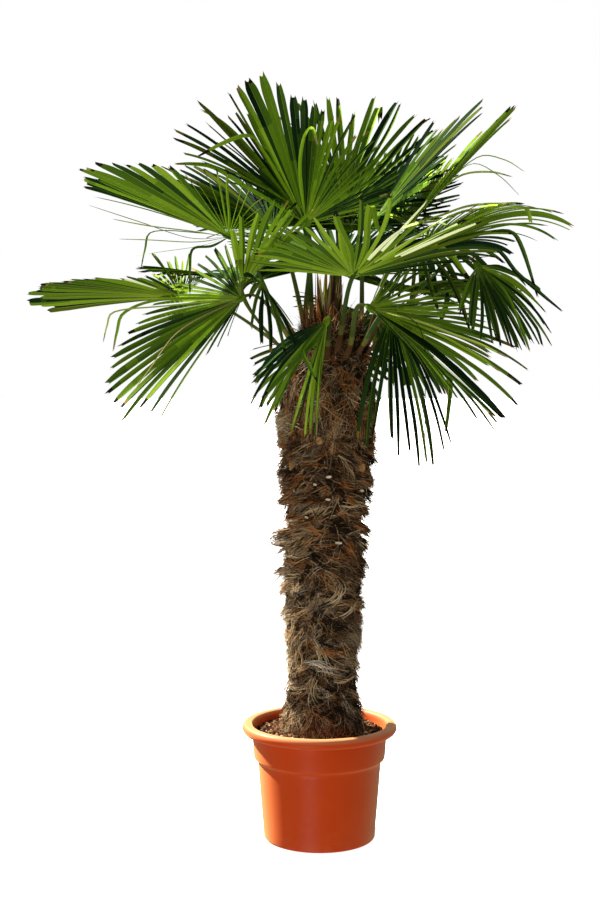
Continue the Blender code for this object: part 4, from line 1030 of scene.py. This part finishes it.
    # flecks: a stretch of a leaflet a step lighter or darker, partly the leaf's own mottling and partly painted dappled
    # light and shadow
    at, run, kind = rng.integers(2, rows - 4, n), rng.integers(2, 6, n), rng.random(n)
    fleck = (rk >= at[:, None]) & (rk < (at + run)[:, None])
    rowtone = np.where(fleck & (kind < 0.10)[:, None], LADDER_UP[rowtone], rowtone)
    rowtone = np.where(fleck & (kind > 0.88)[:, None], LADDER_DOWN[rowtone], rowtone)
    # the pleats: the half that looks away from the light is darker
    stripe = rng.random(n) + (1.0 if fr.name in PLAIN else 0.0)
    facetone = np.repeat(rowtone[:, :, None], 4, 2)
    dark_side = np.where(rng.random(n) < 0.90, 0, 2)
    cols = np.arange(4)[None, None]
    half_of = (cols >= dark_side[:, None, None]) & (cols < dark_side[:, None, None] + 2)
    facetone = np.where((stripe < 0.84)[:, None, None] & half_of, LADDER_DOWN[facetone], facetone)
    facetone = np.where((stripe < 0.24)[:, None, None] & half_of, LADDER_DOWN[facetone], facetone)
    dryness = rng.random(n)
    tipc = np.where(rng.random(n) < 0.74, TIP, np.where(rng.random(n) < 0.6, GOLD, STRAW))
    tiprows = np.where(dryness < dry * 0.45, 2, np.where(dryness < dry, 1, 0))
    istip = rk >= rows - 1 - tiprows[:, None]
    gold = (rng.random(n) < 0.10)[:, None] & (rk == rows - 2 - tiprows[:, None])
    facetone = np.where(istip[..., None], tipc[:, None, None], facetone)
    facetone = np.where(gold[..., None], GOLD, facetone)
    ob = make_mesh("blade_" + fr.name, pts, many_quads(n, rows, 5), LEAF, mat_index=facetone, smooth=True)
    ob.data.set_sharp_from_angle(angle=math.radians(20))
    piece(ob, "leaf", "fan_" + fr.name)
    # ---- midribs: a raised three-sided strip under each leaflet
    if fr.name in PLAIN:
        return fr
    c = pts[:, :-1, 2]
    nn = np.concatenate([nor, n3], 1)[:, :-1]
    ss = np.concatenate([side, s3], 1)[:, :-1]
    tt = np.linspace(0, 1, rows - 1)[None, :, None]
    rw = 0.0012 * (1 - 0.65 * tt)
    rib = np.stack([c - ss * rw + nn * 0.0002, c - nn * rw * 1.3, c + ss * rw + nn * 0.0002, c + nn * rw * 0.7,
                    c - ss * rw + nn * 0.0002], 2)
    ribs.append((rib, np.where(np.isin(tone, [DEEP, DARK, OLIVE]), GREEN, np.where(tone >= BRIGHT, LIME, RIB))))
    return fr


def make_ribs(ribs):
    verts, quads, index, base = [], [], [], 0
    for rib, tone in ribs:
        n, rows = rib.shape[:2]
        verts.append(rib.reshape(-1, 3))
        quads.append(many_quads(n, rows, 5) + base)
        index.append(np.repeat(tone, (rows - 1) * 4))
        base += n * rows * 5
    ob = make_mesh("leaflet_ribs", np.vstack(verts), np.vstack(quads), LEAF, mat_index=np.concatenate(index))
    piece(ob, "leaf")


def make_hastulas(fronds):
    """The small ridged disc where a petiole meets its blade."""
    verts, quads, index, base = [], [], [], 0
    sides = 14
    a = np.arange(sides) / sides * 2 * math.pi
    for fr in fronds:
        up = fr.n
        ring = []
        for rad, h in ((0.021, -0.0030), (0.024, 0.0006), (0.016, 0.0040), (0.006, 0.0058), (0.001, 0.0060)):
            ring.append(fr.hub + fr.m * 0.004 + (np.cos(a) * rad)[:, None] * fr.m + (np.sin(a) * rad * 0.85)[:, None] * fr.s
                        + up * h * (1 + 0.25 * np.cos(a * 5))[:, None])
        verts.append(np.vstack(ring))
        quads.append(grid_quads(5, sides, closed=True) + base)
        index.append(np.full(4 * sides, LIME if fr.name in ("front", "right_bright", "left_up") else FRESH))
        base += 5 * sides
    ob = make_mesh("hastulas", np.vstack(verts), np.vstack(quads), LEAF, mat_index=np.concatenate(index), smooth=True)
    piece(ob, "leaf")


# ---------------------------------------------------------------- single leaflets out of their fan's plane
CAM_X, CAM_Z, CAM_TILT = -0.0657, 1.608, math.radians(3.4)


def seen_at(px, py, y):
    """The point at depth y that the front view shows at this place of its 600 x 900 frame."""
    d = 5.0 + y
    drop = d * math.tan(math.atan((py - 450) / 1500) + CAM_TILT)
    along = d * math.cos(CAM_TILT) + drop * math.sin(CAM_TILT)
    return np.array([(px - 300) * along / 1500 + CAM_X, y, CAM_Z - drop])


# fan it grows from, places of the line in the front view with the depth from the hub, half width, green, tip
STRAYS = (
    ("top_left", ((262, 150, -0.10), (249, 136, -0.15), (226, 142, -0.20), (197, 157, -0.24)), 0.0085, LIME, TIP),
    ("top_left", ((240, 183, -0.12), (212, 167, -0.18), (192, 164, -0.20), (174, 164, -0.22)), 0.0075, BRIGHT, GOLD),
    ("top_left", ((300, 170, -0.06), (304, 138, -0.08), (312, 128, -0.12), (318, 146, -0.15)), 0.0070, LIME, STRAW),
    ("left_high", ((190, 238, -0.10), (140, 222, -0.20), (88, 205, -0.28)), 0.0022, LIME, STRAW),
    ("left_high", ((196, 242, -0.12), (150, 240, -0.20), (118, 239, -0.26)), 0.0020, YELLOW, STRAW),
    ("left_high", ((200, 246, -0.10), (160, 252, -0.18), (136, 256, -0.24)), 0.0020, LIME, STRAW),
    ("left_high", ((190, 231, -0.12), (150, 226, -0.22), (112, 219, -0.28)), 0.0024, YELLOW, STRAW),
    ("left_high", ((212, 246, -0.05), (193, 249, -0.09), (190, 268, -0.11), (190, 295, -0.12)), 0.0048, GREEN, TIP),
    ("left_high", ((200, 233, -0.06), (152, 232, -0.16), (145, 250, -0.19), (141, 269, -0.20)), 0.0040, FRESH, TIP),
    ("left_far", ((160, 262, -0.10), (153, 254, -0.14), (162, 266, -0.17), (175, 281, -0.18)), 0.0060, FRESH, GOLD),
    ("left_low", ((160, 300, -0.12), (124, 313, -0.18), (117, 332, -0.20), (113, 352, -0.21)), 0.0055, LIME, STRAW),
    ("left_low", ((165, 306, -0.12), (114, 312, -0.20), (107, 326, -0.22), (103, 343, -0.22)), 0.0030, YELLOW, GOLD),
    ("left_low", ((180, 330, -0.10), (150, 368, -0.16), (132, 394, -0.20)), 0.0020, STRAW, STRAW),
    ("left_low", ((226, 318, -0.04), (216, 330, -0.06), (211, 342, -0.07)), 0.0024, STRAW, STRAW),
    ("left_hang", ((318, 338, -0.04), (292, 366, -0.10), (274, 385, -0.14), (262, 398, -0.16)), 0.0090, FRESH, TIP),
    ("left_hang", ((308, 341, -0.06), (303, 352, -0.09), (310, 367, -0.11), (319, 384, -0.12)), 0.0075, FRESH, TIP),
    ("right_mid", ((456, 238, -0.10), (490, 232, -0.14), (511, 232, -0.17), (522, 248, -0.19), (538, 298, -0.21)), 0.0080, GREEN, TIP),
    ("right_mid", ((462, 246, -0.12), (497, 250, -0.18), (516, 272, -0.21), (540, 293, -0.22), (563, 312, -0.23)), 0.0075, DARK, TIP),
    ("right_mid", ((431, 246, -0.12), (447, 251, -0.18), (457, 262, -0.20), (470, 281, -0.22)), 0.0085, LIME, TIP),
    ("right_mid", ((424, 262, -0.10), (430, 284, -0.13), (439, 313, -0.15)), 0.0085, OLIVE, TIP),
    ("right_mid", ((436, 262, -0.10), (450, 280, -0.14), (462, 306, -0.16), (470, 331, -0.17)), 0.0085, OLIVE, TIP),
    ("right_bright", ((440, 190, -0.05), (478, 157, -0.12), (505, 160, -0.14), (525, 172, -0.15)), 0.0022, LIME, STRAW),
    ("right_bright", ((440, 192, -0.08), (471, 164, -0.13), (498, 175, -0.15), (520, 196, -0.16)), 0.0022, BRIGHT, STRAW),
    ("right_bright", ((432, 200, -0.06), (460, 176, -0.12), (490, 172, -0.14), (513, 177, -0.15)), 0.0045, YELLOW, STRAW),
    ("right_bright", ((440, 216, -0.10), (470, 206, -0.14), (514, 203, -0.18)), 0.0065, YELLOW, STRAW),
    ("right_bright", ((440, 220, -0.12), (466, 211, -0.16), (491, 209, -0.18)), 0.0060, YELLOW, GOLD),
    ("right_low", ((420, 322, -0.06), (455, 335, -0.10), (482, 345, -0.12), (508, 358, -0.13)), 0.0045, YELLOW, STRAW),
    ("right_low", ((430, 330, -0.06), (480, 357, -0.10), (500, 372, -0.12)), 0.0040, LIME, STRAW),
    ("right_low", ((410, 318, -0.05), (424, 342, -0.08), (425, 410, -0.09), (424, 478, -0.09)), 0.0012, TIP, STRAW),
    ("right_drop", ((505, 292, -0.05), (522, 330, -0.08), (530, 352, -0.09)), 0.0060, FRESH, GOLD),
)


def make_strays(fronds):
    by_name = {fr.name: fr for fr in fronds}
    rng = rng_for("strays")
    verts, quads, index, base = [], [], [], 0
    rows = 22
    for name, places, half, tone, tip in STRAYS:
        fr = by_name[name]
        pts = [fr.hub] + [seen_at(px, py, fr.hub[1] + dy) for px, py, dy in places]
        pts = np.array(pts)
        # a smooth line through the places
        seg = np.linalg.norm(np.diff(pts, axis=0), axis=1)
        u = np.concatenate([[0], np.cumsum(seg ** 0.5)])
        u /= u[-1]
        ext = np.vstack([2 * pts[0] - pts[1], pts, 2 * pts[-1] - pts[-2]])
        uu = np.concatenate([[-u[1]], u, [2 - u[-2]]])
        line = []
        for t in np.linspace(0, 1, rows):
            i = min(int(np.searchsorted(u, t, side="right")) - 1, len(u) - 2)
            k = i + 1
            s = (t - u[i]) / (u[i + 1] - u[i])
            m0 = (ext[k + 1] - ext[k - 1]) / (uu[k + 1] - uu[k - 1]) * (u[i + 1] - u[i])
            m1 = (ext[k + 2] - ext[k]) / (uu[k + 2] - uu[k]) * (u[i + 1] - u[i])
            line.append((2 * s ** 3 - 3 * s ** 2 + 1) * ext[k] + (s ** 3 - 2 * s ** 2 + s) * m0
                        + (-2 * s ** 3 + 3 * s ** 2) * ext[k + 1] + (s ** 3 - s ** 2) * m1)
        line = np.array(line)
        tang = unit(np.gradient(line, axis=0))
        face = unit(np.array([-0.25, -0.85, 0.55]) + rng.normal(0, 0.25, 3))
        side = unit(np.cross(tang, face))
        nor = np.cross(side, tang)
        t = np.linspace(0, 1, rows)
        w = half * np.clip(0.25 + t / 0.30, 0, 1) * (1 - 0.65 * np.clip((t - 0.72) / 0.28, 0, 1) ** 1.6)
        fold = np.radians(26 if half > 0.004 else 8)
        block = []
        for a in ACROSS:
            back = np.where(t == 1, 0.010 * (1 - abs(a)), 0.0)[:, None] * tang
            block.append(line + side * (w * math.cos(fold) * a)[:, None] + nor * (w * math.sin(fold) * (abs(a) - 0.5))[:, None] - back)
        verts.append(np.stack(block, 1).reshape(-1, 3))
        quads.append(grid_quads(rows, 5) + base)
        tones = np.full((rows - 1, 4), tone)
        # one half of a wide stray is one green darker: painted shade on one side of its fold
        if half > 0.005:
            tones[:, 2:] = LADDER_DOWN[tone] if tone < 8 else tone
        tones[-2:] = tip
        index.append(tones.ravel())
        base += rows * 5
    ob = make_mesh("stray_leaflets", np.vstack(verts), np.vstack(quads), LEAF, mat_index=np.concatenate(index))
    piece(ob, "leaf")


# ---------------------------------------------------------------- petioles
def stalk_line(fr, turn, lift, n):
    flat = np.array([fr.hub[0] - TRUNK_TOP_X, fr.hub[1], 0.0])
    w = math.atan2(flat[1], flat[0]) + math.radians(turn)
    out = np.array([math.cos(w), math.sin(w), 0.0])
    rise = math.atan2(fr.hub[2] - 1.621, float(np.linalg.norm(flat)))
    z = 1.606 + 0.055 * max(-0.6, min(1.0, rise / 1.2)) + lift
    start = np.array([float(tcx(z)), 0.0, z]) + out * (float(trad(z)) + 0.0135)
    end = fr.hub - fr.m * 0.0010
    d = float(np.linalg.norm(end - start))
    lead = out * math.cos(rise * 0.8 + 0.35) + np.array([0, 0, 1.0]) * math.sin(rise * 0.8 + 0.35)
    p1, p2 = start + lead * d * 0.38, end - fr.m * d * 0.30
    t = np.linspace(0, 1, n)[:, None]
    return (1 - t) ** 3 * start + 3 * t * (1 - t) ** 2 * p1 + 3 * t * t * (1 - t) * p2 + t ** 3 * end


def stalk_of(fr):
    """The line that the solid stalk follows: the start that fits its end ring best."""
    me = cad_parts["stalk_" + fr.name].data
    co = np.zeros(len(me.vertices) * 3, np.float32)
    me.vertices.foreach_get("co", co)
    co = np.unique(np.round(co.reshape(-1, 3), 5), axis=0)
    best = (9.0, 0, 0.0)
    for turn in range(-48, 49, 6):
        for lift in (0.0, 0.025, -0.025, 0.05, -0.05):
            p = stalk_line(fr, turn, lift, 2)[0]
            d = np.linalg.norm(co - p, axis=1)
            near = np.sort(d)[:5]
            miss = float(np.abs(near - 0.012).sum())
            if miss < best[0]:
                best = (miss, turn, lift)
    return stalk_line(fr, best[1], best[2], 30), best


def make_stalk(fr):
    line, _ = stalk_of(fr)
    rng = rng_for("stalk_" + fr.name)
    n = len(line)
    # run on a little into the trunk and into the blade
    d0 = unit(line[0] - line[1])
    inward = np.array([float(tcx(line[0][2])), 0.0, line[0][2]]) - line[0]
    inward = unit(inward) * 0.030 + np.array([0, 0, -0.022])
    line = np.vstack([line[0] + inward, line[0] + inward * 0.45, line, fr.hub + fr.m * 0.030, fr.hub + fr.m * 0.055])
    n = len(line)
    t = np.linspace(0, 1, n)
    tang = unit(np.gradient(line, axis=0))
    up = fr.n[None] * t[:, None] + np.array([0, 0, 1.0])[None] * (1 - t)[:, None]
    side = unit(np.cross(tang, up))
    top = np.cross(side, tang)
    sides = 12
    a = np.arange(sides) / sides * 2 * math.pi
    w = np.interp(t, [0, 0.06, 0.16, 0.6, 0.93, 0.965, 1.0], [0.0150, 0.0145, 0.0100, 0.0075, 0.0075, 0.0055, 0.0020])
    h = np.interp(t, [0, 0.06, 0.16, 0.6, 0.93, 0.965, 1.0], [0.010, 0.010, 0.0080, 0.0060, 0.0058, 0.0040, 0.0012])
    ca, sa = np.cos(a), np.sin(a)
    # flat above, rounded below, with slightly raised edges
    prof_y = np.where(sa > 0, 0.42 * sa + 0.30 * np.abs(ca) ** 3, 1.0 * sa)
    pts = (line[:, None] + side[:, None] * (w[:, None] * ca[None])[..., None]
           + top[:, None] * (h[:, None] * prof_y[None])[..., None])
    verts = pts.reshape(-1, 3)
    quads = grid_quads(n, sides, closed=True)
    base_rows = int(n * rng.uniform(0.20, 0.32))
    tone = np.full(n - 1, 3)
    tone[:int(n * rng.uniform(0.30, 0.5))] = 2
    tone[:base_rows + 3] = 1
    tone[:base_rows] = 0
    if rng.random() < 0.4:
        tone[base_rows:] = np.minimum(tone[base_rows:], 2)
    end = [[(n - 1) * sides + i, (n - 1) * sides + i + 1, (n - 1) * sides + sides - 2 - i, (n - 1) * sides + sides - 1 - i]
           for i in range(sides // 2 - 1)]
    quads = np.vstack([quads, np.array(end)])
    index = np.concatenate([np.repeat(tone, sides), np.full(len(end), 3)])
    ob = make_mesh("petiole_" + fr.name, verts, quads, STALK, mat_index=index, smooth=True)
    piece(ob, "stalk", "stalk_" + fr.name)


def make_spears():
    """Unopened leaves at the heart, with brown sheath tongues round them."""
    rng = rng_for("spears")
    cx = TRUNK_TOP_X - 0.006
    verts, quads, index, base = [], [], [], 0
    rows, cols = 14, 5
    todo = []
    for k, (ang, rad, lean, h, w, tone) in enumerate((
            (0, 0.006, 0.00, 0.238, 0.011, FRESH), (70, 0.018, 0.05, 0.215, 0.010, GREEN), (150, 0.020, -0.04, 0.190, 0.011, FRESH),
            (215, 0.022, 0.06, 0.205, 0.009, GREEN), (290, 0.020, -0.03, 0.172, 0.012, BRIGHT), (330, 0.026, 0.08, 0.140, 0.011, OLIVE),
            (110, 0.030, 0.10, 0.120, 0.012, DARK))):
        todo.append((ang, rad, lean, h, w, tone, 0))
    for k in range(16):
        todo.append((rng.uniform(0, 360), rng.uniform(0.024, 0.046), rng.uniform(-0.05, 0.22), rng.uniform(0.06, 0.15),
                     rng.uniform(0.007, 0.014), 0, 1))
    t = np.linspace(0, 1, rows)
    for ang, rad, lean, h, w, tone, sheath in todo:
        a = math.radians(ang)
        o = np.array([math.cos(a), math.sin(a), 0])
        s = np.array([-math.sin(a), math.cos(a), 0])
        root = np.array([cx, 0, TRUNK_TOP - 0.03]) + o * rad
        cen = root + np.array([0, 0, 1.0]) * (t * (h + 0.03))[:, None] + o * (lean * t ** 1.6 * h)[:, None]
        ww = w * (1 - 0.25 * t - 0.70 * t ** 4)
        cup = 0.9 if not sheath else 0.35
        for k, x in enumerate(ACROSS):
            p = cen + s * (ww * x * (0.55 if not sheath else 1.0))[:, None] + o * (ww * cup * (0.5 - abs(x)))[:, None]
            verts.append(p)
        blk = np.stack(verts[-5:], 1).reshape(-1, 3)
        del verts[-5:]
        verts.append(blk)
        quads.append(grid_quads(rows, cols) + base)
        index.append(np.full((rows - 1) * (cols - 1), (len(LEAF) + int(rng.integers(0, 3))) if sheath else tone))
        base += rows * cols
    mats = LEAF + [FIBRE[F_BROWN], FIBRE[F_RUST], FIBRE[F_TAN]]
    ob = make_mesh("spear_leaves", np.vstack(verts), np.vstack(quads), mats, mat_index=np.concatenate(index))
    piece(ob, "spear", "spears")


# ================================================================ build
make_pot()
make_soil()
make_core()
make_fibres()
make_heart()
make_stubs()
RIBS = []
MADE = []
for frond_row in FRONDS:
    MADE.append(make_fan(frond_row, RIBS))
    make_stalk(MADE[-1])
make_ribs(RIBS)
make_hastulas(MADE)
make_strays(MADE)
make_spears()

# ================================================================ stage
def make_stage():
    me = bpy.data.meshes.new("floor")
    k = 64
    a = np.arange(k) / k * 2 * math.pi
    v = np.vstack([np.stack([60 * np.cos(a), 60 * np.sin(a), 0 * a - 0.0005], -1), [[0, 0, -0.0005]]])
    me.from_pydata(v.tolist(), [], [(i, (i + 1) % k, k) for i in range(k)])
    ob = bpy.data.objects.new("floor", me)
    bpy.context.scene.collection.objects.link(ob)
    pale = principled("floor_pale", (0.80, 0.80, 0.80), 0.9, 0.1)
    pale.node_tree.nodes["Principled BSDF"].inputs["Emission Color"].default_value = (1.0, 1.0, 1.0, 1.0)
    pale.node_tree.nodes["Principled BSDF"].inputs["Emission Strength"].default_value = 0.90
    me.materials.append(pale)
    ob.visible_diffuse = False      # the pale floor doesn't throw the sun back up into the crown
    ob.visible_glossy = False
    ob.visible_shadow = False

    w = bpy.data.worlds.new("studio")
    bpy.context.scene.world = w
    w.use_nodes = True
    nt = w.node_tree
    bg = nt.nodes["Background"]
    bg.inputs["Color"].default_value = (0.94, 0.97, 1.0, 1.0)
    bg.inputs["Strength"].default_value = 0.42
    # a plain white backdrop behind a softer sky
    white = nt.nodes.new("ShaderNodeBackground")
    white.inputs["Color"].default_value = (1.0, 1.0, 1.0, 1.0)
    white.inputs["Strength"].default_value = 1.0
    ray = nt.nodes.new("ShaderNodeLightPath")
    mix = nt.nodes.new("ShaderNodeMixShader")
    nt.links.new(ray.outputs["Is Camera Ray"], mix.inputs["Fac"])
    nt.links.new(bg.outputs["Background"], mix.inputs[1])
    nt.links.new(white.outputs["Background"], mix.inputs[2])
    nt.links.new(mix.outputs["Shader"], nt.nodes["World Output"].inputs["Surface"])

    # key from the left and behind, 42 degrees up
    sun = bpy.data.lights.new("key", "SUN")
    sun.energy = 14.0
    sun.angle = math.radians(2.4)
    sun.color = (1.0, 0.96, 0.88)
    so = bpy.data.objects.new("key", sun)
    bpy.context.scene.collection.objects.link(so)
    az, el = math.radians(-125), math.radians(42)
    to = (math.sin(az) * math.cos(el), -math.cos(az) * math.cos(el), math.sin(el))
    from mathutils import Vector
    so.rotation_mode = "QUATERNION"
    so.rotation_quaternion = Vector(to).to_track_quat("Z", "Y")

    # a much weaker soft fill from low at the front left, for the undersides of the leaves
    fill = bpy.data.lights.new("fill", "SUN")
    fill.energy = 1.25
    fill.angle = math.radians(14)
    fo = bpy.data.objects.new("fill", fill)
    bpy.context.scene.collection.objects.link(fo)
    az, el = math.radians(-22), math.radians(-38)
    fo.rotation_mode = "QUATERNION"
    fo.rotation_quaternion = Vector((math.sin(az) * math.cos(el), -math.cos(az) * math.cos(el),
                                     math.sin(el))).to_track_quat("Z", "Y")

    cam = bpy.data.cameras.new("camera")
    cam.lens = 60
    cam.sensor_width = 36
    cam.sensor_fit = "AUTO"
    cam.clip_end = 200
    co = bpy.data.objects.new("camera", cam)
    bpy.context.scene.collection.objects.link(co)
    co.location = (CAM_X, -5.0, CAM_Z)
    co.rotation_euler = (math.radians(86.6), 0, 0)
    bpy.context.scene.camera = co
    bpy.context.scene.view_settings.view_transform = "Standard"


make_stage()
